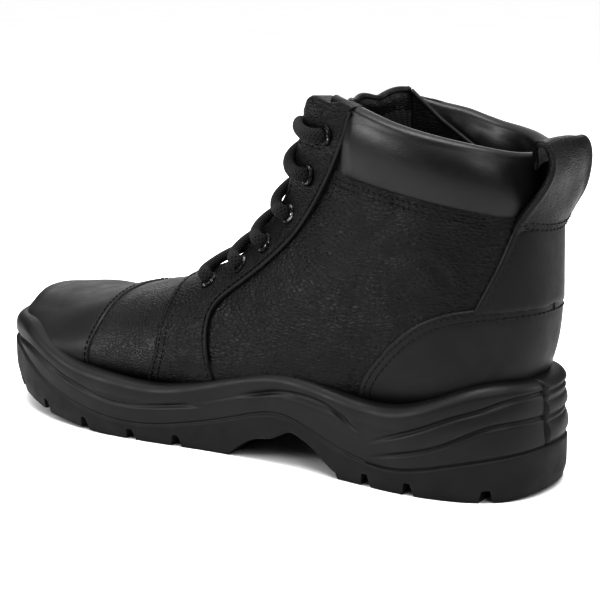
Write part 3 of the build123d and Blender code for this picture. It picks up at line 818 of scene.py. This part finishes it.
def backstay():
    grid = skin_grid(40, 84, 1.4, TAU - 1.4)
    value = least(*grid, (BACKSTAY_EDGE, 1, 0), (COUNTER_EDGE, -1, 3))
    value = np.minimum(value, 110 - grid[0][..., 2])

    def relief(p, n, d):
        f = surface_field(BACKSTAY_EDGE, p, n)
        return 0.5 * hide(p) - 0.3 * bell(f, 2.4, 0.6) + 0.4 * bell(f, 0.8, 0.7)

    obj = panel("backstay_strip", grid, value, SMOOTH, HIGH - 0.9, relief=relief, depth=2.5)
    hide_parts("backstay")


# ---------------------------------------------------------------- stitches
def on_surface(line, lift, side):
    """Side-view points to the boot's surface on one side, with the surface normal.
    Points above the ridge are left out."""
    u, turn = fan_of(line[:, 0], line[:, 1])
    u, turn = u[turn > 0.04], turn[turn > 0.04]
    p, n = touch(u, turn, side)
    return p + n * lift, n


def beads(name, rows):
    """Stitches: small thread capsules along each row of (points, normals)."""
    radius, length, pitch = 0.29, 2.0, 2.8
    verts, faces = [], []
    ring = np.linspace(0, TAU, 7)[:-1]
    profile = [(-0.5, 0.0), (-0.42, 0.75), (-0.2, 1.0), (0.2, 1.0), (0.42, 0.75), (0.5, 0.0)]
    for points, normals in rows:
        d = lengths(points)
        for s in np.arange(pitch / 2, d[-1] - pitch / 2, pitch):
            at = np.array([np.interp(s, d, points[:, k]) for k in range(3)])
            ahead = np.array([np.interp(s + 0.6, d, points[:, k]) for k in range(3)])
            n = unit(np.array([np.interp(s, d, normals[:, k]) for k in range(3)]))
            t = unit(ahead - at)
            b = np.cross(n, t)
            start = len(verts)
            for along, wide in profile:
                arch = (1 - (2 * along) ** 2) * 0.25 - 0.15
                for a in ring:
                    verts.append(at + t * along * length + b * math.cos(a) * radius * wide
                                 + n * (math.sin(a) * radius * wide + arch))
            faces.extend(grid_faces(len(profile), 6, close_cols=True, start=start).tolist())
    return mesh_object(name, verts, faces, THREAD)


def offset_line(line, offset, low=-1e9, high=1e9, count=200):
    """The line moved to its left, kept where low < z < high."""
    p = spline(line, count)
    t = unit(np.gradient(p, axis=0))
    q = p + np.column_stack([-t[:, 1], t[:, 0]]) * offset
    return q[(q[:, 1] > low) & (q[:, 1] < high)]


def seams():
    high, low = HIGH + 0.12, LOW + 0.12
    lines = [(offset_line(VAMP_SEAM, 2.0, 24, 84), high), (offset_line(VAMP_SEAM, 5.0, 26, 53), high),
             (offset_line(QUARTER_SEAM, -2.5, 33, 152), high), (offset_line(TOE_SEAM, -2.2, 30, 92), high),
             (np.column_stack([np.linspace(28, 5, 30), np.linspace(56.2, 58.2, 30)]), high)]
    for gap in STITCH_ROWS:
        row = offset_line(COLLAR_SEAM, gap)
        lines.append((row[(row[:, 0] < -58) & (row[:, 0] > -128)], low + 0.1))
        lines.append((offset_line(COUNTER_EDGE, gap, 37, 77), high))
    lines.append((offset_line(BACKSTAY_EDGE, 2.4, 82, 108), high))
    rows = [on_surface(line, lift, side) for line, lift in lines for side in (1, -1)]
    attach(beads("seam_stitches", rows), "boot")
    throat = []
    for side in (1, -1):
        u = np.linspace(22, 71, 140)
        half = throat_half(skin(u, 0.2)[:, 0]) + 2.8
        turn = np.array([turn_at_width(a, w) for a, w in zip(u, half)])
        p, n = touch(u, turn, side)
        throat.append((p + n * (high + flap(p))[:, None], n))
    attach(beads("throat_stitches", throat), "boot")


def piping():
    """Folded cut edge of the facing along the quarter and the collar."""
    line = offset_line(QUARTER_SEAM, -0.3, 40, 153, 260)
    for side, name in ((1, "lateral"), (-1, "medial")):
        part = line[line[:, 1] < 148] if side < 0 else line
        path, n = on_surface(part, HIGH + 0.2, side)
        obj = tube(f"facing_edge_{name}", path, 0.85, SMOOTH, normals=n)
        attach(obj, "boot")


# ---------------------------------------------------------------- padded collar
def crossing(us, below_line):
    """First u where the line is reached, for each row of values that rise through zero."""
    k = np.argmax(below_line > 0, axis=1).clip(1)
    r = np.arange(len(below_line))
    a, b = below_line[r, k - 1], below_line[r, k]
    return us[k - 1] + (us[k] - us[k - 1]) * np.clip(-a / (b - a), 0, 1)


def collar():
    turns = np.linspace(0.93, TAU - 0.93, 460)
    us = np.linspace(48, 91.8, 500)
    p = skin(us[None, :], turns[:, None])
    seam = crossing(us, p[..., 2] - natural(sorted(COLLAR_SEAM), p[..., 0]))
    lower = np.where(turns > math.pi, 1.0, 0.0)[:, None] * inner_drop(p[..., 0])
    top = crossing(us, p[..., 2] - natural(sorted(TOP_EDGE), p[..., 0]) + 3.2 + lower)
    mid = skin((seam + top) / 2, turns)
    f = field(QUARTER_SEAM, mid[:, 0], mid[:, 2])[0]
    free = (0.35 + 0.65 * smooth(0, 8, f)) * smooth(-3, 1.5, f)
    loop_press = smooth(17, 25, np.abs(mid[:, 1])) * 0.45 + 0.55
    loop_press = np.where(mid[:, 0] < -120, loop_press, 1.0)
    rings = []
    for w in np.linspace(-0.12, 1, 26):
        u = seam + (top - seam) * w
        base, n = touch(u, turns)
        puff = max(0.0, math.sin(math.pi * min(max(w, 0) * 0.86 + 0.04, 1))) ** 0.6
        folds = 0.12 * hash_noise(base * [0.6, 0.6, 1.6], 7.5, 3.0) * free
        h = -1.4 + (1.6 + 3.3 * free * loop_press) * puff + folds
        h = h if w >= 0 else np.full_like(h, -1.4)
        rings.append(base + n * np.asarray(h)[:, None])
    base, n = touch(top, turns)
    up = unit(skin(np.minimum(top + 0.4, 91.9), turns) - skin(top - 0.4, turns))
    outer = np.sum((rings[-1] - base) * n, -1)
    inner = -6.0 - 0.8 * free
    for a in np.linspace(0, math.pi, 13)[1:-1]:
        wave = 0.1 * hash_noise(base, 9.0, 8.0)
        h = (outer + inner) / 2 + (outer - inner) / 2 * math.cos(a)
        rings.append(base + n * h[:, None] + up * (math.sin(a) * (3.2 + wave))[:, None])
    for w in np.linspace(1, -0.55, 26):
        u = seam + (top - seam) * w
        base, n = touch(u, turns)
        puff = math.sin(math.pi * min(max(w, 0), 1)) ** 0.7 if w > 0 else 0.0
        folds = 0.55 * hash_noise(base * [1.5, 1.5, 0.4], 6.0, 4.0) + 0.25 * hash_noise(base, 3.5, 1.0)
        h = inner - 1.6 * puff + folds * smooth(1.0, 0.85, w)
        rings.append(base + n * h[:, None])
    faces = grid_faces(len(rings), len(turns)).tolist()
    obj = mend(mesh_object("padded_collar", np.concatenate(rings), faces, COLLAR_SKIN), fill=True)
    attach(obj, "boot")
    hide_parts("collar_cover_lateral", "collar_cover_medial", "collar_foam", "collar_binding",
                "collar_lining")


# ---------------------------------------------------------------- tongue and gussets
def tongue_point(u, v, depth):
    """Point across the tongue: v from -1 to 1, depth under its outer face."""
    u, v = np.broadcast_arrays(np.asarray(u, float), np.asarray(v, float))
    columns = [sorted([(row[0], row[k]) for row in TONGUE]) for k in (1, 2, 3)]
    middle, half, edge = (natural(c, u) for c in columns)
    ridge = radii(u)[0]
    centre = 4.0 * smooth(60, 79, u)
    return in_place(u, ridge + middle + (edge - middle) * v ** 2 + depth, v * half + centre)


def tongue_top(v):
    """Station of the tongue's free edge: low on the outer side, highest near the inner corner."""
    return 79.7 + 1.5 * smooth(-0.25, -0.85, v) + 0.25 * np.sin(9 * v)


def tongue():
    k = np.linspace(0, 1, 170)[:, None]
    v = np.sin(np.linspace(-math.pi / 2, math.pi / 2, 91))[None, :]
    u = 11 + (tongue_top(v) - 11) * k
    ripple = smooth(58, 78, u)
    fold = (1.0 * np.sin(5.0 * v + 0.9 + 0.02 * u) + 0.5 * np.sin(11 * v - 0.05 * u)) * ripple
    plump = (1 - v ** 2) ** 0.35
    end = np.sqrt(1 - smooth(0.965, 1.0, k) ** 2 * 0.999)
    outer = tongue_point(u, v, 2.6 - (2.6 * plump + 0.4) * end + fold * 0.6)
    rough = 0.3 * hash_noise(tongue_point(u, v, 0), 4.5)
    inner = tongue_point(u, v, 2.6 + (3.4 * plump) * end + fold + rough * end)
    obj = sheet("padded_tongue", outer, inner, FINE_GRAIN, MESH_LINING, lined=0.93)
    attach(obj, "tongue")
    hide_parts("tongue_leather", "tongue_foam", "tongue_lining")
    v = np.linspace(-0.95, 0.95, 140)
    fold = 1.0 * np.sin(5.0 * v + 2.5) + 0.5 * np.sin(11 * v - 4.0)
    path = tongue_point(tongue_top(v) - 0.3, v, 3.0 + fold * 0.8)
    obj = tube("tongue_binding", path, 1.5, SMOOTH)
    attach(obj, "tongue")


def gussets():
    """Leaves from the tongue's edges back along the collar, with a bound free edge."""
    for side, name, reach in ((1, "lateral", 10.0), (-1, "medial", 27.0)):
        k = np.linspace(0, 1, 70)[:, None]
        w = np.linspace(0, 1, 34)[None, :]
        top = float(tongue_top(np.array(side * 0.95))) - 0.4
        start = tongue_point(30 + (top - 30) * k, side * 0.96 + 0 * w, 3.0)
        u_end = 30 + 44 * k
        edge = natural([(row[0], row[3]) for row in TONGUE], u_end)
        end = in_place(u_end, radii(u_end)[0] + edge + 5 + reach * k, side * (24 + 1.5 * k) + 0 * w)
        leaf = start * (1 - w[..., None]) + end * w[..., None]
        bow = np.sin(math.pi * w) * (1.6 * np.sin(3 * k * math.pi)) * k
        leaf = leaf + np.stack([0 * bow, side * bow, -1.0 * np.sin(math.pi * w) * k ** 3], -1)
        leaf = leaf + 0.35 * hash_noise(leaf, 4.0)[..., None] * [0, 1, 0]
        n = unit(np.cross(np.gradient(leaf, axis=0), np.gradient(leaf, axis=1))) * GUSSET / 2
        obj = sheet(f"tongue_gusset_{name}_leaf", leaf + n, leaf - n, FINE_GRAIN)
        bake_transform(obj)
        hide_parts(f"tongue_gusset_{name}")
        rim = tube(f"tongue_gusset_{name}_binding", leaf[-1], 1.1, SMOOTH)
        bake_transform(rim)


def tube(name, path, radius, material, flat=1.0, normals=None, uv=False):
    """Round or oval cord along a path of points; uv gives it a braid map."""
    sides = 16
    t = unit(np.gradient(path, axis=0))
    if normals is None:
        normals = np.cross(t, [0, 0, 1.0])
    n = unit(normals - np.sum(normals * t, -1, keepdims=True) * t)
    b = np.cross(t, n)
    radius = np.broadcast_to(radius, len(path))
    a = np.linspace(0, TAU, sides, endpoint=False)
    rings = (path[:, None] + b[:, None] * (np.cos(a)[None, :, None] * radius[:, None, None])
             + n[:, None] * (np.sin(a)[None, :, None] * (radius * flat)[:, None, None]))
    verts = rings.reshape(-1, 3)
    faces = grid_faces(len(path), sides, close_cols=True).tolist()
    last = (len(path) - 1) * sides
    faces += [tuple(range(sides)), tuple(last + k for k in range(sides - 1, -1, -1))]
    obj = mesh_object(name, verts, faces, material)
    if uv:
        d = lengths(path)
        layer = obj.data.uv_layers.new(name="braid")
        for poly in obj.data.polygons[:(len(path) - 1) * sides]:
            columns = [v % sides for v in poly.vertices]
            wraps = max(columns) - min(columns) > sides / 2
            for loop, v in zip(poly.loop_indices, poly.vertices):
                col = v % sides
                around = (col + sides if wraps and col < sides / 2 else col) / sides
                layer.data[loop].uv = (around, d[v // sides] / 10)
    mend(obj)
    return obj


# ---------------------------------------------------------------- pull loop
NEAR_EDGE = [(-135.6, 107.5), (-137.6, 113.5), (-142.6, 120.8), (-147.6, 128.6), (-149.3, 134.8),
             (-148.2, 140.3), (-145.6, 142.7), (-142.8, 142.4), (-140.6, 139.8), (-139.2, 135.6),
             (-138.4, 132.0)]
FAR_EDGE = [(-135.9, 107.5), (-139.2, 113.3), (-144.4, 121.4), (-146.6, 129.5), (-146.9, 135.6),
            (-145.9, 140.3), (-144.0, 142.2), (-141.7, 141.4), (-140.1, 138.8), (-139, 135.1),
            (-138.4, 131.5)]


def pull_loop():
    """Strap sewn on at its foot, standing up and back over the collar: near is the outer edge."""
    t = np.linspace(0, 1, 130)
    near, far = spline(NEAR_EDGE, len(t)), spline(FAR_EDGE, len(t))
    v = np.linspace(-1, 1, 49)
    mix = ((v + 1) / 2)[None, :, None]
    side = far[:, None] * (1 - mix) + near[:, None] * mix
    along = unit(np.gradient(side, axis=0))
    out = np.stack([-along[..., 1], along[..., 0]], -1)
    crown = (1 - v[None, :] ** 2) * (5.2 * (1 - smooth(0.02, 0.38, t)) + 1.2)[:, None]
    width = 19.2 + 2.4 * (1 - smooth(0, 0.22, t)) - 8.0 * smooth(0.70, 0.95, t)
    y = v[None, :] * width[:, None] + 0.25 * np.sin(9 * t)[:, None]
    mid = side + out * crown[..., None]
    p = np.stack([mid[..., 0], y, mid[..., 1]], -1)
    n = np.stack([out[..., 0], 0 * y, out[..., 1]], -1)
    rim = 0.5 * smooth(0.88, 0.96, np.abs(v))[None, :]
    wave = 0.3 * hash_noise(p, 6.0, 2.0)
    body = (0.15 + 0.85 * smooth(0.0, 0.12, t))[:, None]
    seam = -0.55 * bell(t, 0.085, 0.012)[:, None]
    top = p + n * (1.0 * body + rim + wave + seam)[..., None]
    low = p - n * (1.0 + 0.4 * rim - wave)[..., None]
    obj = sheet("pull_loop_strip", top, low, FINE_GRAIN)
    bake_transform(obj)
    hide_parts("pull_loop")
    sewn = [(top[row, 2:-2] + n[row, 2:-2] * 0.15, n[row, 2:-2]) for row in (7, 14)]
    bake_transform(beads("pull_loop_stitches", sewn))


# ---------------------------------------------------------------- eyelets and lace
def eyelets():
    """Six rolled rings a side, turned from one profile of (radius, height) points."""
    profile = [(2.3, -3.5), (2.35, 0.2), (2.6, 1.0), (3.1, 1.32), (3.8, 1.22), (4.45, 0.75),
               (4.6, 0.1), (4.4, -0.4)]
    turns = np.linspace(0, TAU, 40, endpoint=False)
    for side, name in ((1, "lateral"), (-1, "medial")):
        verts, faces = [], []
        for x, z in EYELETS:
            c, n = touch(*fan_of(x, z), side)
            c = c + n * (HIGH + flap(c))
            a = unit(np.cross(n, [0.3, 0.2, 1.0]))
            b = np.cross(n, a)
            ring = grid_faces(len(profile), len(turns), close_cols=True, start=len(verts))
            faces.extend(ring.tolist())
            verts.extend(c + (a * math.cos(g) + b * math.sin(g)) * r + n * h
                         for r, h in profile for g in turns)
        obj = mend(mesh_object(f"eyelet_rings_{name}", verts, faces, METAL))
        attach(obj, "boot")
        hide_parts(f"eyelets_{name}")


def lace_route():
    """Centreline and surface normals of the lace, end to end."""
    under, lift = 8.2, 3.2
    places = [fan_of(x, z) for x, z in EYELETS]

    def point(u, turn, side, height):
        p, n = touch(u, turn, side)
        return np.concatenate([p + n * (height + flap(p)), n])

    def bridge(u, rise):
        p = skin(u, turn_at_width(u, 16.0))
        n = unit(np.array([PIVOT_X - p[0], 0, PIVOT_Z - p[2]]))
        return np.concatenate([np.array([p[0], 0, p[2]]) + n * rise, n])

    def climb(side, higher):
        points = []
        for level, (u, turn) in enumerate(places):
            edge = turn_at_width(u, 15.0)
            points.append(point(u, turn, side, -1.0))
            points.append(point(u - 0.7, turn * 0.93, side, lift))
            points.append(point(u - 1.8, (turn + edge) / 2, side, lift + 0.4))
            if level == len(places) - 1:
                points.append(point(u - 2.4, edge * 0.93, side, lift - 1.5))
                points.append(point(u - 2.6, edge * 0.90, side, -3.0))
                points.append(point(u - 2.6, edge * 1.1, side, -under + 0.6))
                points.append(point(u - 2.5, turn, side, -under + 0.6))
                break
            next_u, next_turn = places[level + 1]
            points.append(point(u - 1.0, edge * 0.98, side, lift))
            points.append(bridge((u + next_u) / 2, 4.6 if higher else -0.8))
            points.append(point(next_u, turn_at_width(next_u, 14.0), -side, -under))
            points.append(point(next_u, next_turn * 0.96, -side, -under))
            side, higher = -side, not higher
        return points

    u, turn = places[0]
    edge = turn_at_width(u, 14.0)
    low = skin(u, turn_at_width(u, 16.0))
    bar = [point(u, turn * 0.97, 1, -under), point(u, edge, 1, -under),
           np.array([low[0], 0, low[2] - 1, 0, 0, 1.0]),
           point(u, edge, -1, -under), point(u, turn * 0.97, -1, -under)]
    return np.array(climb(1, True)[::-1] + bar + climb(-1, False))


def lace():
    """The cord: oval on the leather, and round and thinner where it goes through a hole."""
    fine = spline(lace_route(), 2400)
    path, normals = fine[:, :3], unit(fine[:, 3:])
    hole = np.zeros(len(path))
    for side in (1, -1):
        for x, z in EYELETS:
            c, n = touch(*fan_of(x, z), side)
            rel = path - c - n * flap(c)
            high = rel @ n
            flat = np.linalg.norm(rel - high[:, None] * n, axis=1)
            hole = np.maximum(hole, smooth(4.5, 1.5, flat) * smooth(1.9, 0.4, high) * smooth(-9, -4, high))
    obj = tube("lace_cord", path, 3.1 - 0.95 * hole, BRAID, flat=0.74 + 0.2 * hole,
               normals=normals, uv=True)
    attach(obj, "boot")
    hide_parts("lace")


# ---------------------------------------------------------------- sole
def outline_distance(x, y):
    """Signed distance to the sole's outline, positive inside."""
    ring = spline(OUTLINE, 400, closed=True)
    best = np.full(x.shape, 1e9)
    inside = np.zeros(x.shape, bool)
    for (ax, ay), (bx, by) in zip(ring, np.roll(ring, -1, axis=0)):
        dx, dy = bx - ax, by - ay
        t = np.clip(((x - ax) * dx + (y - ay) * dy) / (dx * dx + dy * dy), 0, 1)
        best = np.minimum(best, np.hypot(x - ax - t * dx, y - ay - t * dy))
        cross = ((ay > y) != (by > y)) & (x < (bx - ax) * (y - ay) / (by - ay + 1e-12) + ax)
        inside ^= cross
    return np.where(inside, best, -best)


def tread(x, y, inside):
    """Height of the sole's underside; inside is the distance from the outline."""
    ground = linear(GROUND, x)
    arch = np.where((x > -68) & (x < -11), natural(ARCH_TOP, np.clip(x, -66.7, -10.4)), 0)
    depth = np.zeros(x.shape)
    for gap in EDGE_GAPS + INNER_GAPS:
        bend = 0.0024 * (np.abs(y) - 40) * np.abs(y) * (1 if gap > 0 else -1)
        cut = 1 - smooth(1.5, 2.3, np.abs(x - gap - bend))
        depth = np.maximum(depth, cut if gap in EDGE_GAPS else cut * smooth(7, 9, inside))
    rows = 1 - smooth(1.3, 2.1, np.abs(np.abs(y - 1) - 19 - 0.03 * np.abs(x)))
    depth = np.maximum(depth, rows * ((x > 5) | (x < -72)) * smooth(7, 9, inside))
    depth = depth * ((x > -2) | (x < -70))
    return np.maximum(ground, arch) + 5.5 * depth + 0.25 * hash_noise(np.stack([x, y, 0 * x], -1), 9.0)


HEEL_LINES = [[(-160, 43), (-147, 42.5), (-140.5, 41.5), (-131, 38), (-120.5, 34.5), (-109, 29.5),
               (-95, 24)],
              [(-160, 33), (-147, 32.5), (-134, 31), (-117, 23), (-97, 16.5), (-80, 12)]]
WAIST_LINE = [(-90, 24), (-77, 24), (-64.6, 30), (-50, 33), (-36.5, 32.5), (-24, 29.5), (-5, 27)]
BALL_LINE = [(-5, 20.5), (6, 20), (21, 18), (48.6, 16.5), (64, 19), (82, 23.5), (95, 27)]


def wall_relief(x, z, lip, split):
    """How far the side wall stands out of the outline, in millimetres."""
    r = 4.6 + 1.2 * smooth(90, 130, x)
    t = np.clip((z - (lip - r)) / r, 0, 1)
    bead = -r * (1 - np.sqrt(np.maximum(1 - t ** 2, 0)))
    fore = smooth(70, 100, x)
    under = -1.5 * bell(z, lip - 2 * r + 0.5, 1.3) * (0.35 * smooth(-104, -92, x) + 0.65 * fore)
    heel = smooth(-78, -100, x)
    line_a, line_b = natural(HEEL_LINES[0], x), natural(HEEL_LINES[1], x)
    heel_lines = -1.3 * bell(z, line_a, 0.9) - 1.3 * bell(z, line_b, 0.9)
    bulge = 1.1 * bell(z, (lip + line_a) / 2, 5.0) + 0.9 * bell(z, (line_a + line_b) / 2, 4.5)
    waist = smooth(-84, -72, x) * smooth(-14, -30, x)
    wave = natural(WAIST_LINE, x)
    wave_line = -1.0 * bell(z, wave, 0.9) + 0.9 * smooth(wave + 0.5, wave + 3, z)
    ball = smooth(-2, 10, x) * smooth(92, 78, x)
    groove = natural(BALL_LINE, x)
    seam = -0.8 * bell(z, split, 0.55)
    foot = np.where(z < split, 0.5, 0.0)
    taper = -3.0 * smooth(-100, -140, x) * smooth(20, 46, z) + 2.2 * smooth(118, 140, x)
    lower = -1.2 * smooth(8, 0, z - np.maximum(linear(GROUND, x), 0)) ** 2
    return (bead + under + heel * (heel_lines + bulge) + waist * wave_line
            - 0.9 * ball * bell(z, groove, 0.9) + seam + foot + lower + taper - 1.2)


def wall_rows(x, y, nx, ny, low, high, rows, floor=0.0):
    """Columns of side-wall points from low to high above outline points, none below the floor."""
    lip = natural(LIP, x)
    split = natural(SPLIT, x)
    k = np.linspace(0, 1, rows)[:, None]
    z = np.maximum(low * (1 - k) + high * k, floor)
    out = wall_relief(x, z, lip, split)
    p = np.stack([x + nx * out, y + ny * out, z], -1)
    return p + 0.12 * hash_noise(p, 7.0)[..., None] * np.stack([nx, ny, 0 * nx], -1)


def outline_frame():
    """Points of the sole's outline and the outward direction at each."""
    ring = spline(OUTLINE, 1300, closed=True)
    t = unit(np.roll(ring, -1, axis=0) - np.roll(ring, 1, axis=0))
    n = np.column_stack([t[:, 1], -t[:, 0]])
    return ring, n * np.sign(np.sum(n * ring))


def nearest_outline(points):
    """Nearest place on the sole's outline to each point, with the outward direction there."""
    ring, n = outline_frame()
    table = np.hstack([ring, n])
    ahead = np.roll(table, -1, axis=0)
    step = ahead[:, :2] - ring
    found = []
    for point in points:
        t = np.clip(np.sum((point - ring) * step, 1) / np.sum(step * step, 1), 0, 1)[:, None]
        at = table * (1 - t) + ahead * t
        found.append(at[np.argmin(np.sum((at[:, :2] - point) ** 2, 1))])
    return np.array(found)


def midsole():
    """Side wall of the midsole, turned in under its foot and over its lip."""
    ring, n = outline_frame()
    x, y = ring.T
    wall = wall_rows(x, y, n[:, 0], n[:, 1], natural(SPLIT, x) - 0.4, natural(LIP, x), 64)
    wall = wall + heel_panel(wall, n)
    ledge = [wall[-1] + np.column_stack([n * -inward, np.full(len(n), -drop)]) for inward, drop in
             ((0.8, -0.15), (2.2, 0.1), (4.0, 0.6), (7.0, 2.2), (12.0, 6.5))]
    foot = wall[0] + np.column_stack([n * -9.0, np.zeros(len(n))])
    rows = np.concatenate([foot[None], wall, np.array(ledge)])
    faces = grid_faces(*rows.shape[:2], close_cols=True).tolist()
    obj = mend(mesh_object("midsole_wall", rows.reshape(-1, 3), faces, MIDSOLE))
    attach(obj, "boot")
    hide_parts("midsole")


def heel_panel(wall, n):
    """Three bulging ribs in a recessed panel at the back of the heel."""
    x, y, z = wall[..., 0], wall[..., 1], wall[..., 2]
    here = (x < -120) & (y > -27) & (y < 8.5)
    across = np.minimum(y + 26, 8.0 - y)
    edge = -1.4 * bell(across, 0.0, 0.9)
    bottom, pitch, count = 21.5, 8.6, 3.0
    wave = np.sin(np.clip((z - bottom) / pitch, 0, count) * math.pi)
    ribs = 1.6 * np.abs(wave) ** 0.5 - 0.5
    amount = np.where(here, edge + ribs * smooth(0.4, 2.2, across) * smooth(20, 24, z), 0)
    return amount[..., None] * np.column_stack([n, 0 * n[:, :1]])


def outsole():
    """The tread seen from below, joined to the outsole's side wall."""
    xs, ys = np.arange(-151, 151, 0.9), np.arange(-62, 62, 0.9)
    x, y = np.meshgrid(xs, ys, indexing="ij")
    value = outline_distance(x, y) - 2.2
    points = np.stack([x, y, tread(x, y, value)], -1)
    up = np.zeros_like(points)
    up[..., 2] = 1
    verts, _, _, faces = clip_grid(points, up, value)
    rim = rim_of(faces)
    ids = np.array(sorted({i for e in rim for i in e}))
    where = {int(v): k for k, v in enumerate(ids)}
    edge = verts[ids]
    ex, ey, nx, ny = nearest_outline(edge[:, :2]).T
    low = np.minimum(edge[:, 2], natural(SPLIT, ex) - 3)
    wall = wall_rows(ex, ey, nx, ny, linear(GROUND, ex), natural(SPLIT, ex) - 0.2, 22, low)
    lid = wall[-1] + np.column_stack([nx * -8, ny * -8, 0 * nx])
    columns = np.concatenate([wall, lid[None]])
    count = len(ids)
    total = np.vstack([verts, columns.reshape(-1, 3)])
    base = len(verts)
    out = list(faces)
    for a, b in rim:
        i, j = where[a], where[b]
        out.append((b, a, base + i, base + j))
        for r in range(columns.shape[0] - 1):
            s = base + r * count
            out.append((s + j, s + i, s + count + i, s + count + j))
    obj = mend(mesh_object("outsole_tread", total, out, OUTSOLE))
    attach(obj, "boot")
    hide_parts("outsole")


# ---------------------------------------------------------------- everything
def dress_inner_nodes():
    """Procedural finish for the inner pieces that keep their CAD form."""
    finishes = [(MESH_LINING, ("quarter_lining", "vamp_lining")), (KNIT, ("footbed",)),
                (BOARD, ("insole_board",)), (STEEL, ("puncture_plate", "shank", "toe_protector")),
                (STIFFENER, ("heel_stiffener",)),
                (FELT, ("vamp_interlining", "backstay_interlining", "quarter_interlining_lateral",
                        "quarter_interlining_medial"))]
    for material, names in finishes:
        for name in names:
            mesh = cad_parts[name].data
            mesh.materials.clear()
            mesh.materials.append(material)


for make in (camera, lights, surroundings, floor, toe_cap, vamp, facings, quarters, counter, backstay,
             seams, piping, collar, tongue, gussets, pull_loop, eyelets, lace, midsole, outsole,
             dress_inner_nodes):
    make()
